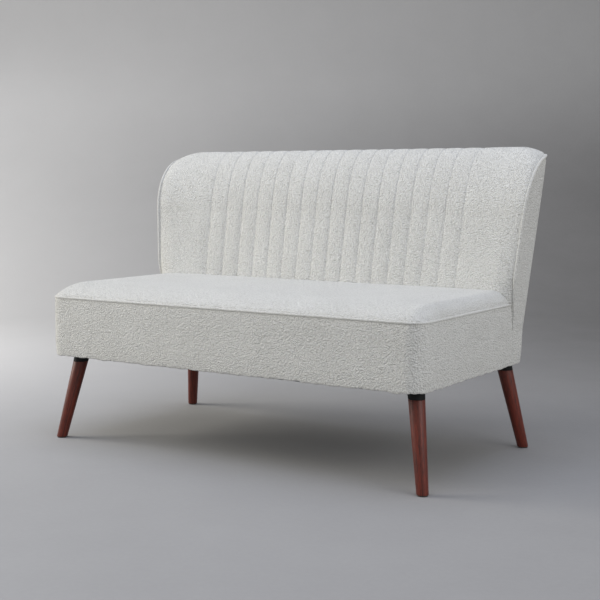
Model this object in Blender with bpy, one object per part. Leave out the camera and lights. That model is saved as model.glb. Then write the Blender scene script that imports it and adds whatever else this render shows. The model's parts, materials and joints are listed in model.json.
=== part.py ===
"""Armless loveseat: tight crowned seat, channelled rolled back, splayed turned legs.

Metres, +Z up, origin on the floor under the middle of the seat. The front faces -Y.
"""

import math

import bmesh
import bpy
from mathutils import Vector

# Fits
GAP = 0.0003  # between pieces that touch
SEAM_GAP = 0.0013  # between two covers that a seam joins
FOAM_GAP = 0.0016  # between a filling and the cover over it

# Overall sizes
OVERALL_DEPTH = 0.681
SEAT_WIDTH = 1.146
BACK_HEIGHT = 0.800
BACK_LEAN = 0.095  # run of the back to the rear for each metre of height
SIDE_FLARE = 0.103  # run of each side outwards for each metre of height
FLARE_RISE = 0.019  # start of the flare above the seat welt

# Seat upholstery
SEAT_BOTTOM = 0.236
WELT_HEIGHT = 0.391
WELT_RADIUS = 0.0036
SEAT_ROLL_HEIGHT = 0.038
SEAT_ROLL_WIDTH = 0.070
SEAT_DOME = 0.001
SEAT_CORNER = 0.044
SEAT_COVER_WALL = 0.006
BAND_WALL = 0.012
BAND_TUCK = 0.004
BAND_BULGE_LOW = 0.035
BAND_BULGE_HIGH = 0.026
HEM_WIDTH = 0.028
HEM_WALL = 0.0037
SEAM_FOOT_FORWARD = 0.105  # foot of the side seam, ahead of the back's rear face

# Back upholstery
BACK_THICKNESS = 0.152
FACE_TAPER = 0.085  # lean of the inside face beyond that of the back, for each metre of height
BACK_ROLL_HEIGHT = 0.180
CREST_SETBACK = 0.0293
SEAM_DROP = 0.023
SEAM_FORWARD = 0.157  # side seam, ahead of the back's rear face
SEAM_POWER = 2.13  # fullness of the rolled seam: 2 is an ellipse
REAR_CORNER = 0.060
WING_FORWARD = 0.036
WING_WIDTH = 0.375
EDGE_ROLL = 0.055
PANEL_WALL = 0.016
PANEL_EDGE = 0.006
PANEL_FOOT_RISE = 0.013  # foot of the inside back above the rails
TUCK_STEP = 0.007  # top of the tucked part above the seat welt
BACK_FOAM_WALL = 0.042  # at the foot, less where the face tapers
OUTSIDE_WALL = 0.0055
HEM_LEG_CLEARANCE = 0.003
NEST_RUN = 0.012
CHANNEL_COUNT = 16
CHANNEL_PITCH = 0.0496
CHANNEL_DEPTH = 0.008
CHANNEL_FAN = 0.076  # spread of the channels for each metre of height
CHANNEL_WIDENING = 0.035  # how much further out the last line stands than equal channels put it
CHANNEL_SHOULDER = 0.2

# Seat frame
RAIL_THICK = 0.022
RAIL_HEIGHT = 0.095
RAIL_CHAMFER = 0.002
BLOCK_REACH = 0.120
CENTRE_RAIL_HEIGHT = 0.055

# Seat springs and filling
SPRING_COUNT = 7
SPRING_PITCH = 0.140
SPRING_REACH = 0.024
SPRING_WIRE = 0.0019
SPRING_ARC = 0.014
SPRING_BENDS = 13
BEND_POINTS = 4
PAD_WALL = 0.004
PAD_MARGIN = 0.020
DUST_COVER_WALL = 0.001
DUST_COVER_INSET = 0.007
DUST_HOLE_CLEARANCE = 0.003

# Back frame
SIDE_PANEL_WALL = 0.015
SIDE_PANEL_TIP = 0.015
SIDE_PANEL_SETBACK = 0.012
BOARD_WALL = 0.003
BOARD_FOOT = 0.012
UPRIGHT_WIDTH = 0.040
UPRIGHT_PITCH = 0.300
UPRIGHT_HEAD = 0.040  # top of the uprights above the start of the roll
CREST_RAIL_DROP = 0.070
SLAT_WALL = 0.018
SLAT_HEIGHT = 0.070
SLAT_FOOT = 0.130  # underside of the slat above the seat rails

# Legs
FOOT_SPLAY_X = 0.043
FOOT_SPLAY_Y = 0.045
LEG_SETBACK_X = 0.0533
LEG_SETBACK_FRONT = 0.0762
LEG_SETBACK_REAR = 0.0515
FOOT_RADIUS = 0.0140
LEG_TOP_RADIUS = 0.0205
COLLAR_HEIGHT = 0.024
GLIDE_WALL = 0.0025
GLIDE_INSET = 0.0020
LEG_SIDES = 20

# Bolts
BOLT_RADIUS = 0.004
BOLT_IN_LEG = 0.035
BOLT_IN_BLOCK = 0.045
BOLT_HEAD_RADIUS = 0.008
BOLT_HEAD = 0.0032
BOLT_NUT_RADIUS = 0.0068
BOLT_NUT = 0.0065
BOLT_SIDES = 12

# Fineness of round stretches
CORNER_STEPS = 4
ROLL_STEPS = 5
REAR_STEPS = 2
SEAT_CORNER_STEPS = 8
SEAT_COLUMNS = 4
COVER_ROWS = 5
FOAM_ROWS = 9
PAD_ROWS = 12
EDGE_COLUMNS = 3
WELT_SIDES = 1
CORNER_ROLL_SHARE = 0.8  # part of a corner column's seam that lies on the roll
SIDE_SHARES = (0, 0.05, 0.16, 0.34, 0.65)
REAR_SHARES = (0.5, 1.0)
TOP_ROW_SHARE = 0.6

# Places that follow from the sizes
SEAT_HALF = SEAT_WIDTH / 2
WELT_NEST = WELT_RADIUS + GAP
SEAT_FRONT = WELT_RADIUS - OVERALL_DEPTH / 2
SEAT_EDGE_TOP = WELT_HEIGHT + WELT_RADIUS / 2
BAND_TOP = WELT_HEIGHT - WELT_RADIUS / 2
FRAME_BOTTOM = SEAT_BOTTOM + HEM_WALL + GAP
RAIL_TOP = FRAME_BOTTOM + RAIL_HEIGHT
FLARE_START = WELT_HEIGHT + FLARE_RISE
FRAME_HALF = SEAT_HALF - BAND_WALL - GAP
FRAME_FRONT = SEAT_FRONT + BAND_WALL + GAP
ROLL_START = BACK_HEIGHT - BACK_ROLL_HEIGHT
SEAM_TOP = BACK_HEIGHT - SEAM_DROP
BACK_REAR = OVERALL_DEPTH / 2 - WELT_RADIUS
BACK_FRONT = BACK_REAR - BACK_THICKNESS
CREST = BACK_REAR - CREST_SETBACK
SEAM_FRONT = BACK_REAR - SEAM_FORWARD
REAR_ARC = BACK_REAR - REAR_CORNER
FRAME_REAR = BACK_REAR + BACK_LEAN * (FRAME_BOTTOM - SEAM_TOP) - OUTSIDE_WALL - GAP
SPRING_RAIL_REAR = FRAME_REAR - BLOCK_REACH - GAP
SPRING_FRONT = FRAME_FRONT + RAIL_THICK / 2
SPRING_REAR = SPRING_RAIL_REAR - RAIL_THICK / 2
PANEL_FOOT = RAIL_TOP + PANEL_FOOT_RISE
STEP_LOW = WELT_HEIGHT + TUCK_STEP
FOAM_REAR = BACK_REAR - REAR_CORNER / 2
BOARD_FRONT = BACK_FRONT + PANEL_WALL + BACK_FOAM_WALL + GAP
UPRIGHT_FRONT = BOARD_FRONT + BOARD_WALL + GAP
LEG_TOP = FRAME_BOTTOM - GAP
LEG_IN_CORNER = math.hypot(REAR_CORNER - LEG_SETBACK_X, REAR_CORNER - LEG_SETBACK_REAR)
REAR_HEM = REAR_CORNER - LEG_IN_CORNER - LEG_TOP_RADIUS - HEM_LEG_CLEARANCE
CORNER_ANGLES = [math.radians(90 * k / CORNER_STEPS) for k in range(CORNER_STEPS + 1)]
SIDES = (("left", -1), ("right", 1))
FOAM_EDGE = BAND_WALL + GAP - WELT_NEST
COVER_EDGES = [0] + [
    FOAM_EDGE + (SEAT_ROLL_WIDTH - FOAM_EDGE) * (k / EDGE_COLUMNS) ** 2
    for k in range(EDGE_COLUMNS + 1)
]


def finish(name, colour, roughness, metallic=0.0):
    """A plain surface for the pieces of one kind."""
    material = bpy.data.materials.new(name)
    material.use_nodes = True
    shader = material.node_tree.nodes["Principled BSDF"]
    shader.inputs["Base Color"].default_value = (*colour, 1.0)
    shader.inputs["Roughness"].default_value = roughness
    shader.inputs["Metallic"].default_value = metallic
    material.diffuse_color = (*colour, 1.0)
    return material


def clear_scene():
    """Removes what the scene starts with."""
    for obj in list(bpy.data.objects):
        bpy.data.objects.remove(obj, do_unlink=True)


def add_group(name):
    """An empty that carries one sub-assembly."""
    empty = bpy.data.objects.new(name, None)
    bpy.context.scene.collection.objects.link(empty)
    return empty


def add_piece(name, shape, material, group, location=(0, 0, 0)):
    """Turns a bmesh into a named object of the assembly, with its faces outwards."""
    bmesh.ops.recalc_face_normals(shape, faces=shape.faces)
    mesh = bpy.data.meshes.new(name)
    shape.to_mesh(mesh)
    shape.free()
    mesh.materials.append(material)
    mesh.shade_smooth()
    mesh.set_sharp_from_angle(angle=math.radians(35))
    piece = bpy.data.objects.new(name, mesh)
    piece.location = location
    piece.parent = group
    bpy.context.scene.collection.objects.link(piece)
    return piece


def add_faces(shape, rows):
    """Quads between neighbouring rows of bmesh points."""
    for row, following in zip(rows, rows[1:]):
        for k in range(len(row) - 1):
            shape.faces.new((row[k], row[k + 1], following[k + 1], following[k]))


def ring_solid(rings):
    """A closed solid through closed rings of points, flat at both ends."""
    shape = bmesh.new()
    rows = [[shape.verts.new(point) for point in ring] for ring in rings]
    add_faces(shape, [row + row[:1] for row in rows])
    shape.faces.new(rows[0])
    shape.faces.new(rows[-1])
    return shape


def fan_wall(shape, outer, inner):
    """Triangles between a run of outer points and one inner edge."""
    middle = len(outer) // 2
    for k in range(len(outer) - 1):
        near = inner[0] if k < middle else inner[1]
        shape.faces.new((outer[k], outer[k + 1], near))
    shape.faces.new((inner[0], outer[middle], inner[1]))


def grid_solid(outer, inner, kept=None):
    """A closed solid between two grids. The inner one may keep only some of the columns."""
    shape = bmesh.new()
    outer = [[shape.verts.new(point) for point in row] for row in outer]
    inner = [[shape.verts.new(point) for point in row] for row in inner]
    kept = kept or list(range(len(outer[0])))
    add_faces(shape, outer)
    add_faces(shape, inner)
    for row in (0, -1):
        for k, (start, end) in enumerate(zip(kept, kept[1:])):
            fan_wall(shape, outer[row][start : end + 1], inner[row][k : k + 2])
    for column in (0, -1):
        add_faces(shape, [[row[column] for row in outer], [row[column] for row in inner]])
    return shape


def prism(outline, low, high):
    """A plan outline raised from one height to another."""
    return ring_solid([[(x, y, z) for x, y in outline] for z in (low, high)])


def bar(name, low, high, material, group):
    """A straight timber between two corners, with its edges taken off."""
    low, high = Vector(low), Vector(high)
    size = high - low
    shape = bmesh.new()
    bmesh.ops.create_cube(shape, size=1)
    bmesh.ops.scale(shape, vec=size, verts=shape.verts)
    piece = add_piece(name, shape, material, group, (low + high) / 2)
    edges = piece.modifiers.new("edges", "BEVEL")
    edges.width = min(RAIL_CHAMFER, min(size) / 4)
    edges.segments = 1
    return piece


def rod(start, end, radius, sides=BOLT_SIDES):
    """A round bar between two points."""
    start, end = Vector(start), Vector(end)
    axis = end - start
    shape = bmesh.new()
    bmesh.ops.create_cone(
        shape, cap_ends=True, segments=sides, radius1=radius, radius2=radius, depth=axis.length
    )
    bmesh.ops.rotate(
        shape, verts=shape.verts, matrix=Vector((0, 0, 1)).rotation_difference(axis).to_matrix()
    )
    bmesh.ops.translate(shape, verts=shape.verts, vec=(start + end) / 2)
    return shape


def cut(piece, shape, group):
    """Takes a shape out of a piece."""
    number = len(piece.modifiers) + 1
    cutter = add_piece(f"{piece.name}_cut_{number}", shape, piece.data.materials[0], group)
    cutter.hide_render = True
    cutter.display_type = "WIRE"
    hole = piece.modifiers.new(f"cut_{number}", "BOOLEAN")
    hole.operation = "DIFFERENCE"
    hole.solver = "EXACT"
    hole.object = cutter


def tube(name, points, radius, material, group, resolution=WELT_SIDES):
    """A round cord or wire along points, closed at both ends."""
    curve = bpy.data.curves.new(name, "CURVE")
    curve.dimensions = "3D"
    curve.bevel_depth = radius
    curve.bevel_resolution = resolution
    curve.use_fill_caps = True
    spline = curve.splines.new("POLY")
    spline.points.add(len(points) - 1)
    for point, place in zip(spline.points, points):
        point.co = (*place, 1)
    curve.materials.append(material)
    piece = bpy.data.objects.new(name, curve)
    piece.parent = group
    bpy.context.scene.collection.objects.link(piece)
    return piece


def quarter(share):
    """Height of a quarter round, from 0 at its edge to 1 from share 1 on."""
    return math.sqrt(1 - (1 - min(max(share, 0), 1)) ** 2)


def lean(z):
    """How far the reclined back stands to the rear at a height."""
    return BACK_LEAN * (z - SEAM_TOP)


def flare_half(z):
    """Half of the width over the sides at a height."""
    return SEAT_HALF + SIDE_FLARE * max(0, z - FLARE_START)


def panel_half(z):
    """Half of the inside back's width, narrower where it is tucked between the seat bands."""
    return FRAME_HALF if z <= STEP_LOW else flare_half(z) - WELT_NEST


def seam_ellipse(angle, edge):
    """Point of the rolled side seam, in the upright back: (y, z)."""
    along = (CREST - SEAM_FRONT + edge) * max(math.cos(angle), 0) ** (2 / SEAM_POWER)
    up = (SEAM_TOP - ROLL_START + edge) * math.sin(angle) ** (2 / SEAM_POWER)
    return CREST - along, ROLL_START + up


def seam_angle(y, edge):
    """Angle on the rolled side seam at which it reaches y, a right angle at most."""
    share = (CREST - y) / (CREST - SEAM_FRONT + edge)
    return math.acos(min(max(share, 0), 1) ** (SEAM_POWER / 2))


def seam_y(z):
    """Place of the side seam, from the seat's underside to the start of the roll."""
    if z >= FLARE_START:
        return SEAM_FRONT + lean(z)
    foot = BACK_REAR - SEAM_FOOT_FORWARD + lean(SEAT_BOTTOM)
    head = SEAM_FRONT + lean(FLARE_START)
    return foot + (head - foot) * (z - SEAT_BOTTOM) / (FLARE_START - SEAT_BOTTOM)


def wing(edge):
    """How far the inside back comes forward, by the distance from its side edge."""
    return WING_FORWARD * max(0, 1 - edge / WING_WIDTH) ** 2


def face_front(z):
    """The inside back's face in the upright back, clear of its wings: it tapers up to the roll."""
    return BACK_FRONT + FACE_TAPER * (min(max(z, FLARE_START), ROLL_START) - FLARE_START)


def back_face_y(x, z):
    """The inside back's front at a point behind the seat."""
    edge = max(0, flare_half(z) - WELT_NEST - abs(x))
    seam = SEAM_FRONT - PANEL_EDGE
    face = face_front(z) - wing(edge)
    return seam + (face - seam) * quarter(edge / EDGE_ROLL) + lean(z)


def back_rows(foot):
    """Rows of the inside back from its foot over the roll: (zone, height or angle)."""
    rows = [("low", foot), ("low", STEP_LOW), ("low", FLARE_START), ("low", ROLL_START)]
    rows += [("roll", math.radians(90) * k / ROLL_STEPS) for k in range(1, ROLL_STEPS + 1)]
    rows += [("rear", math.radians(90) * k / REAR_STEPS) for k in range(1, REAR_STEPS + 1)]
    return rows


def seam_point(row, rear, edge):
    """Where a row of the inside back would meet its seam, for a column that ends at rear: (y, z)."""
    zone, value = row
    if zone == "low":
        return SEAM_FRONT - edge, value
    last = seam_angle(rear, edge)
    squeezed = max(0, CREST - rear) / max(CREST - REAR_ARC, GAP)
    roll_share = 1 - (1 - CORNER_ROLL_SHARE) * squeezed
    if zone == "roll":
        return seam_ellipse(last * roll_share * value / math.radians(90), edge)
    share = value / math.radians(90)
    y, z = seam_ellipse(last * (roll_share + (1 - roll_share) * share), edge)
    return y + max(0, rear - CREST) * share, z


def row_half(row):
    """Half width of a row of the inside back."""
    return panel_half(seam_point(row, REAR_ARC, 0)[1])


def rear_limit(x, half):
    """Rear end of the inside back's top at a column, round the corner of the back."""
    radius = REAR_CORNER - WELT_NEST
    past = max(0, abs(x) - (half - radius))
    return REAR_ARC + math.sqrt(max(radius**2 - past**2, 0))


def back_point(x, row, depth, edge_depth):
    """Point of the inside back's surface, sunk by a depth: by edge_depth at the seam."""
    zone, value = row
    half = row_half(row)
    edge = half - abs(x)
    rear = rear_limit(x, half)
    crest = rear - CREST_SETBACK
    height = seam_point(row, REAR_ARC, 0)[1]
    face = face_front(height) - wing(flare_half(height) - WELT_NEST - abs(x)) + depth
    top = BACK_HEIGHT - depth
    if zone == "low":
        y, z = face, value
    elif zone == "roll":
        y = crest - (crest - face) * math.cos(value)
        z = ROLL_START + (top - ROLL_START) * math.sin(value)
    else:
        end = SEAM_TOP + PANEL_EDGE - edge_depth
        y = crest + (rear - crest) * math.sin(value)
        z = top - (top - end) * (1 - math.cos(value))
    seam = seam_point(row, rear, PANEL_EDGE - edge_depth)
    blend = quarter(edge / EDGE_ROLL)
    y = seam[0] + (y - seam[0]) * blend
    z = seam[1] + (z - seam[1]) * blend
    return x, y + lean(z), z


def channel_drop(x):
    """Depth of the sewn channels at a place across the back."""
    outer = CHANNEL_COUNT * CHANNEL_PITCH / 2
    if abs(x) > outer:
        past = (abs(x) - outer) / CHANNEL_PITCH
        return CHANNEL_DEPTH * (1 - quarter(2 * past))
    share = (x + outer) / CHANNEL_PITCH % 1.0
    return CHANNEL_DEPTH * (1 - quarter(2 * min(share, 1 - share)))


def panel_columns():
    """Columns across the inside back, as (flat place, None) or (side, edge distance), and the kept ones."""
    radius = REAR_CORNER - WELT_NEST
    outer = CHANNEL_COUNT * CHANNEL_PITCH / 2
    ends = [radius * (1 - math.cos(angle)) for angle in CORNER_ANGLES]
    ends.append((radius + SEAT_HALF - outer - CHANNEL_SHOULDER * CHANNEL_PITCH) / 2)
    shares = (0, CHANNEL_SHOULDER, 0.5, 1 - CHANNEL_SHOULDER)
    places = [-outer - CHANNEL_SHOULDER * CHANNEL_PITCH]
    kept = list(range(len(ends)))
    for channel in range(CHANNEL_COUNT):
        kept.append(len(ends) + len(places))
        places += [-outer + (channel + share) * CHANNEL_PITCH for share in shares]
    kept.append(len(ends) + len(places))
    places += [outer, outer + CHANNEL_SHOULDER * CHANNEL_PITCH]
    columns = [(-1, edge) for edge in ends]
    columns += [(place, None) for place in places]
    columns += [(1, edge) for edge in reversed(ends)]
    kept += range(len(columns) - len(ends), len(columns))
    return columns, kept


def column_x(column, row):
    """Place of a column across one row: the channels fan out with height and widen to the sides."""
    place, edge = column
    if edge is not None:
        return place * (row_half(row) - edge)
    height = seam_point(row, REAR_ARC, 0)[1]
    widening = CHANNEL_WIDENING * (place / (CHANNEL_COUNT * CHANNEL_PITCH / 2)) ** 2
    return place * (1 + widening) * (1 + CHANNEL_FAN * max(0, height - WELT_HEIGHT))


def column_drop(column):
    """Depth of the sewing at a column."""
    place, edge = column
    return 0 if edge is not None else channel_drop(place)


def u_path(inset, end, steps=CORNER_STEPS):
    """Plan of the seat's front and sides at an inset, from the left end to the right end."""
    half = SEAT_HALF - inset
    radius = max(SEAT_CORNER - inset, GAP)
    right = []
    for k in range(steps + 1):
        angle = math.radians(90) * k / steps
        x = half - radius + radius * math.sin(angle)
        y = SEAT_FRONT + inset + radius - radius * math.cos(angle)
        right.append((x, y))
    right.append((half, end))
    return [(-x, y) for x, y in reversed(right)] + right


def seat_edge(x, y, inset):
    """Distance in from the seat's outline, which is itself set in."""
    radius = SEAT_CORNER - inset
    across = abs(x) - (SEAT_HALF - SEAT_CORNER)
    ahead = SEAT_FRONT + SEAT_CORNER - y
    if across > 0 and ahead > 0:
        return radius - math.hypot(across, ahead)
    return radius - max(across, ahead)


def seat_top_z(x, y):
    """Crowned top of the seat."""
    share = seat_edge(x, y, WELT_NEST) / SEAT_ROLL_WIDTH
    crown = SEAT_ROLL_HEIGHT + SEAT_DOME * (1 - (x / SEAT_HALF) ** 2)
    return SEAT_EDGE_TOP + crown * quarter(share)


def seat_under_z(x, y):
    """Underside of the seat's top cover."""
    return max(seat_top_z(x, y) - SEAT_COVER_WALL, BAND_TOP + GAP)


def seat_columns(half, edges):
    """Places across the seat: close together near the sides."""
    inner = half - edges[-1]
    right = [inner * k / SEAT_COLUMNS for k in range(SEAT_COLUMNS)]
    right += [half - edge for edge in reversed(edges)]
    return [-x for x in reversed(right[1:])] + right


def seat_front_y(x, inset):
    """Front outline of the seat at a place across it, with its round corners."""
    radius = SEAT_CORNER - inset
    past = abs(x) - (SEAT_HALF - SEAT_CORNER)
    if past <= 0:
        return SEAT_FRONT + inset
    return SEAT_FRONT + SEAT_CORNER - math.sqrt(max(radius**2 - past**2, 0))


def seat_grid(inset, edges, rows, height):
    """Grid over the seat from its front outline to the inside back."""
    grid = []
    columns = seat_columns(SEAT_HALF - inset, edges)
    for k in range(len(edges) + rows):
        row = []
        for x in columns:
            front = seat_front_y(x, inset)
            rear = back_face_y(x, height(x, SPRING_REAR)) - FOAM_GAP
            if k < len(edges):
                y = front + edges[k]
            else:
                y = front + edges[-1] + (rear - front - edges[-1]) * (k - len(edges) + 1) / rows
            row.append((x, y, height(x, y)))
        grid.append(row)
    return grid


def spring_z(y):
    """Middle of the spring wire along the seat."""
    middle = (SPRING_FRONT + SPRING_REAR) / 2
    share = (y - middle) / ((SPRING_REAR - SPRING_FRONT) / 2)
    return RAIL_TOP + GAP + SPRING_WIRE + SPRING_ARC * (1 - min(share**2, 1))


def pad_top_z(y):
    """Top of the spring pad along the seat."""
    return spring_z(y) + SPRING_WIRE + GAP + PAD_WALL


def corner_block_outline(side, front):
    """Plan of a corner block: round outside, shoulders for two rails, a slanted inside."""
    if front:
        radius = SEAT_CORNER - BAND_WALL - GAP
    else:
        radius = REAR_CORNER - OUTSIDE_WALL - GAP
    near = [(0, BLOCK_REACH)]
    for k in range(CORNER_STEPS + 1):
        angle = math.radians(90) * k / CORNER_STEPS
        near.append((radius * (1 - math.cos(angle)), radius * (1 - math.sin(angle))))
    near += [(BLOCK_REACH, 0), (BLOCK_REACH, RAIL_THICK), (RAIL_THICK, BLOCK_REACH)]
    edge, inwards = (FRAME_FRONT, 1) if front else (FRAME_REAR, -1)
    return [(side * (FRAME_HALF - u), edge + inwards * v) for u, v in near]


def leg_axis(side, front):
    """Points of a leg's axis on the floor and at its top."""
    x = side * (SEAT_HALF - LEG_SETBACK_X)
    if front:
        y = SEAT_FRONT + LEG_SETBACK_FRONT
    else:
        y = BACK_REAR + lean(SEAT_BOTTOM) - LEG_SETBACK_REAR
    foot_y = y - FOOT_SPLAY_Y if front else y + FOOT_SPLAY_Y
    return Vector((x + side * FOOT_SPLAY_X, foot_y, 0)), Vector((x, y, LEG_TOP))


def leg_slice(side, front, low, high):
    """Length of a turned, tapered, leaning leg between two level cuts."""
    foot, top = leg_axis(side, front)
    axis = (top - foot).normalized()
    spare = LEG_TOP_RADIUS
    length = (top - foot).length
    slope = (LEG_TOP_RADIUS - FOOT_RADIUS) / length
    shape = bmesh.new()
    bmesh.ops.create_cone(
        shape,
        cap_ends=True,
        segments=LEG_SIDES,
        radius1=FOOT_RADIUS - slope * spare,
        radius2=LEG_TOP_RADIUS + slope * spare,
        depth=length + 2 * spare,
    )
    turn = Vector((0, 0, 1)).rotation_difference(axis).to_matrix()
    bmesh.ops.rotate(shape, verts=shape.verts, matrix=turn)
    bmesh.ops.translate(shape, verts=shape.verts, vec=(foot + top) / 2)
    for height, outwards in ((low, -1), (high, 1)):
        parts = shape.verts[:] + shape.edges[:] + shape.faces[:]
        sliced = bmesh.ops.bisect_plane(
            shape,
            geom=parts,
            plane_co=(0, 0, height),
            plane_no=(0, 0, outwards),
            clear_outer=True,
        )
        rim = [part for part in sliced["geom_cut"] if isinstance(part, bmesh.types.BMEdge)]
        bmesh.ops.edgeloop_fill(shape, edges=rim)
    return shape


def upright_places():
    """Places of the uprights across the back."""
    return (("left", -UPRIGHT_PITCH), ("centre", 0.0), ("right", UPRIGHT_PITCH))


def make_finishes():
    """The surfaces of the pieces, by kind."""
    return {
        "boucle": finish("woven_boucle", (0.56, 0.55, 0.52), 0.95),
        "stained_wood": finish("stained_beech", (0.115, 0.036, 0.026), 0.42),
        "black_plastic": finish("black_plastic", (0.012, 0.012, 0.013), 0.5),
        "glide": finish("nylon_glide", (0.05, 0.04, 0.035), 0.6),
        "softwood": finish("pine_timber", (0.62, 0.43, 0.25), 0.7),
        "plywood": finish("birch_plywood", (0.66, 0.50, 0.32), 0.65),
        "steel": finish("spring_steel", (0.33, 0.33, 0.34), 0.35, 0.9),
        "felt": finish("grey_felt", (0.30, 0.30, 0.31), 0.95),
        "foam": finish("seat_foam", (0.80, 0.76, 0.60), 0.9),
        "lining": finish("black_lining", (0.02, 0.02, 0.02), 0.9),
    }


def make_seat_frame(finishes, group):
    """Rails, corner blocks and the centre rail."""
    wood = finishes["softwood"]
    end = FRAME_HALF - BLOCK_REACH - GAP
    inner = FRAME_HALF - RAIL_THICK
    front_end = FRAME_FRONT + BLOCK_REACH + GAP
    rear_end = FRAME_REAR - BLOCK_REACH - GAP
    bar(
        "front_rail",
        (-end, FRAME_FRONT, FRAME_BOTTOM),
        (end, FRAME_FRONT + RAIL_THICK, RAIL_TOP),
        wood,
        group,
    )
    rear_rail = bar(
        "rear_rail",
        (-end, FRAME_REAR - RAIL_THICK, FRAME_BOTTOM),
        (end, FRAME_REAR, RAIL_TOP),
        wood,
        group,
    )
    for name, side in SIDES:
        across = sorted((side * inner, side * FRAME_HALF))
        bar(
            f"side_rail_{name}",
            (across[0], front_end, FRAME_BOTTOM),
            (across[1], rear_end, RAIL_TOP),
            wood,
            group,
        )
    bar(
        "spring_rail",
        (GAP - inner, SPRING_RAIL_REAR - RAIL_THICK, FRAME_BOTTOM),
        (inner - GAP, SPRING_RAIL_REAR, RAIL_TOP),
        wood,
        group,
    )
    bar(
        "centre_rail",
        (-RAIL_THICK / 2, FRAME_FRONT + RAIL_THICK + GAP, FRAME_BOTTOM),
        (
            RAIL_THICK / 2,
            SPRING_RAIL_REAR - RAIL_THICK - GAP,
            FRAME_BOTTOM + CENTRE_RAIL_HEIGHT,
        ),
        wood,
        group,
    )
    for place, front in (("front", True), ("rear", False)):
        for name, side in SIDES:
            shape = prism(corner_block_outline(side, front), FRAME_BOTTOM, RAIL_TOP)
            block = add_piece(f"corner_block_{place}_{name}", shape, wood, group)
            cut_leg_bolt(block, side, front, group)
    return rear_rail


def cut_leg_bolt(piece, side, front, group):
    """Bores a piece for the hanger bolt of a leg."""
    start, end = hanger_bolt_ends(side, front)
    along = (end - start).normalized() * GAP
    cut(piece, rod(start - along, end + along, BOLT_RADIUS + GAP), group)


def hanger_bolt_ends(side, front):
    """Ends of a leg's hanger bolt, in the leg and in the corner block."""
    foot, top = leg_axis(side, front)
    axis = (top - foot).normalized()
    joint = top - axis * (COLLAR_HEIGHT / axis.z)
    return joint - axis * BOLT_IN_LEG, top + axis * BOLT_IN_BLOCK


def make_springs(finishes, group):
    """Sinuous springs from the front rail to the spring rail."""
    count = SPRING_BENDS * BEND_POINTS
    for spring in range(SPRING_COUNT):
        middle = (spring - (SPRING_COUNT - 1) / 2) * SPRING_PITCH
        points = []
        for k in range(count + 1):
            y = SPRING_FRONT + (SPRING_REAR - SPRING_FRONT) * k / count
            swing = math.sin(math.pi * k / BEND_POINTS)
            points.append((middle + SPRING_REACH * swing, y, spring_z(y)))
        tube(f"seat_spring_{spring + 1}", points, SPRING_WIRE, finishes["steel"], group, 0)


def make_seat_filling(finishes, group):
    """Spring pad and seat foam."""
    half = FRAME_HALF - PAD_MARGIN
    low, high = [], []
    for k in range(PAD_ROWS + 1):
        y = SPRING_FRONT + (SPRING_REAR - SPRING_FRONT) * k / PAD_ROWS
        low.append([(x, y, pad_top_z(y) - PAD_WALL) for x in (-half, half)])
        high.append([(x, y, pad_top_z(y)) for x in (-half, half)])
    add_piece("spring_pad", grid_solid(high, low), finishes["felt"], group)
    edges = [edge - FOAM_EDGE for edge in COVER_EDGES[1:]]
    inset = WELT_NEST + FOAM_EDGE
    top = seat_grid(inset, edges, FOAM_ROWS, lambda x, y: seat_under_z(x, y) - FOAM_GAP)
    floor = seat_grid(inset, edges, FOAM_ROWS, lambda x, y: pad_top_z(y) + GAP)
    add_piece("seat_foam", grid_solid(top, floor), finishes["foam"], group)


def make_seat_covers(finishes, group):
    """Crowned top cover, band, welt and dust cover."""
    fabric = finishes["boucle"]
    top = seat_grid(WELT_NEST, COVER_EDGES, COVER_ROWS, seat_top_z)
    under = seat_grid(WELT_NEST, COVER_EDGES, COVER_ROWS, seat_under_z)
    add_piece("seat_top_cover", grid_solid(top, under), fabric, group)
    section = [
        (BAND_TUCK, SEAT_BOTTOM),
        (0, SEAT_BOTTOM + BAND_BULGE_LOW),
        (0, BAND_TOP - BAND_BULGE_HIGH),
        (BAND_TUCK / 3, BAND_TOP - BAND_BULGE_HIGH / 3),
        (WELT_NEST, BAND_TOP),
        (BAND_WALL, BAND_TOP),
        (BAND_WALL, SEAT_BOTTOM + HEM_WALL),
        (HEM_WIDTH, SEAT_BOTTOM + HEM_WALL),
        (HEM_WIDTH, SEAT_BOTTOM),
    ]
    paths = [
        [(x, y, z) for x, y in u_path(inset, seam_y(z) - SEAM_GAP, SEAT_CORNER_STEPS)]
        for inset, z in section
    ]
    add_piece("seat_band", ring_solid(list(zip(*paths))), fabric, group)
    welt_end = seam_y(WELT_HEIGHT) - SEAM_GAP
    welt = [(x, y, WELT_HEIGHT) for x, y in u_path(0, welt_end, SEAT_CORNER_STEPS)]
    tube("seat_welt", welt, WELT_RADIUS, fabric, group)
    make_dust_cover(finishes, group)


def make_dust_cover(finishes, group):
    """Thin sheet under the seat, with a hole round each leg."""
    front = u_path(DUST_COVER_INSET, 0)[1:-1]
    half = SEAT_HALF - DUST_COVER_INSET
    rear = BACK_REAR + lean(SEAT_BOTTOM) - DUST_COVER_INSET
    radius = REAR_CORNER - DUST_COVER_INSET
    right = [
        (half - radius + radius * math.cos(angle), rear - radius + radius * math.sin(angle))
        for angle in CORNER_ANGLES
    ]
    outline = front + right + [(-x, y) for x, y in reversed(right)]
    high = SEAT_BOTTOM - GAP
    cover = add_piece(
        "dust_cover", prism(outline, high - DUST_COVER_WALL, high), finishes["lining"], group
    )
    for front in (True, False):
        for _, side in SIDES:
            _, top = leg_axis(side, front)
            low = Vector((top.x, top.y, SEAT_BOTTOM - COLLAR_HEIGHT))
            high = Vector((top.x, top.y, SEAT_BOTTOM + COLLAR_HEIGHT))
            cut(cover, rod(low, high, LEG_TOP_RADIUS + DUST_HOLE_CLEARANCE, LEG_SIDES), group)


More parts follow.
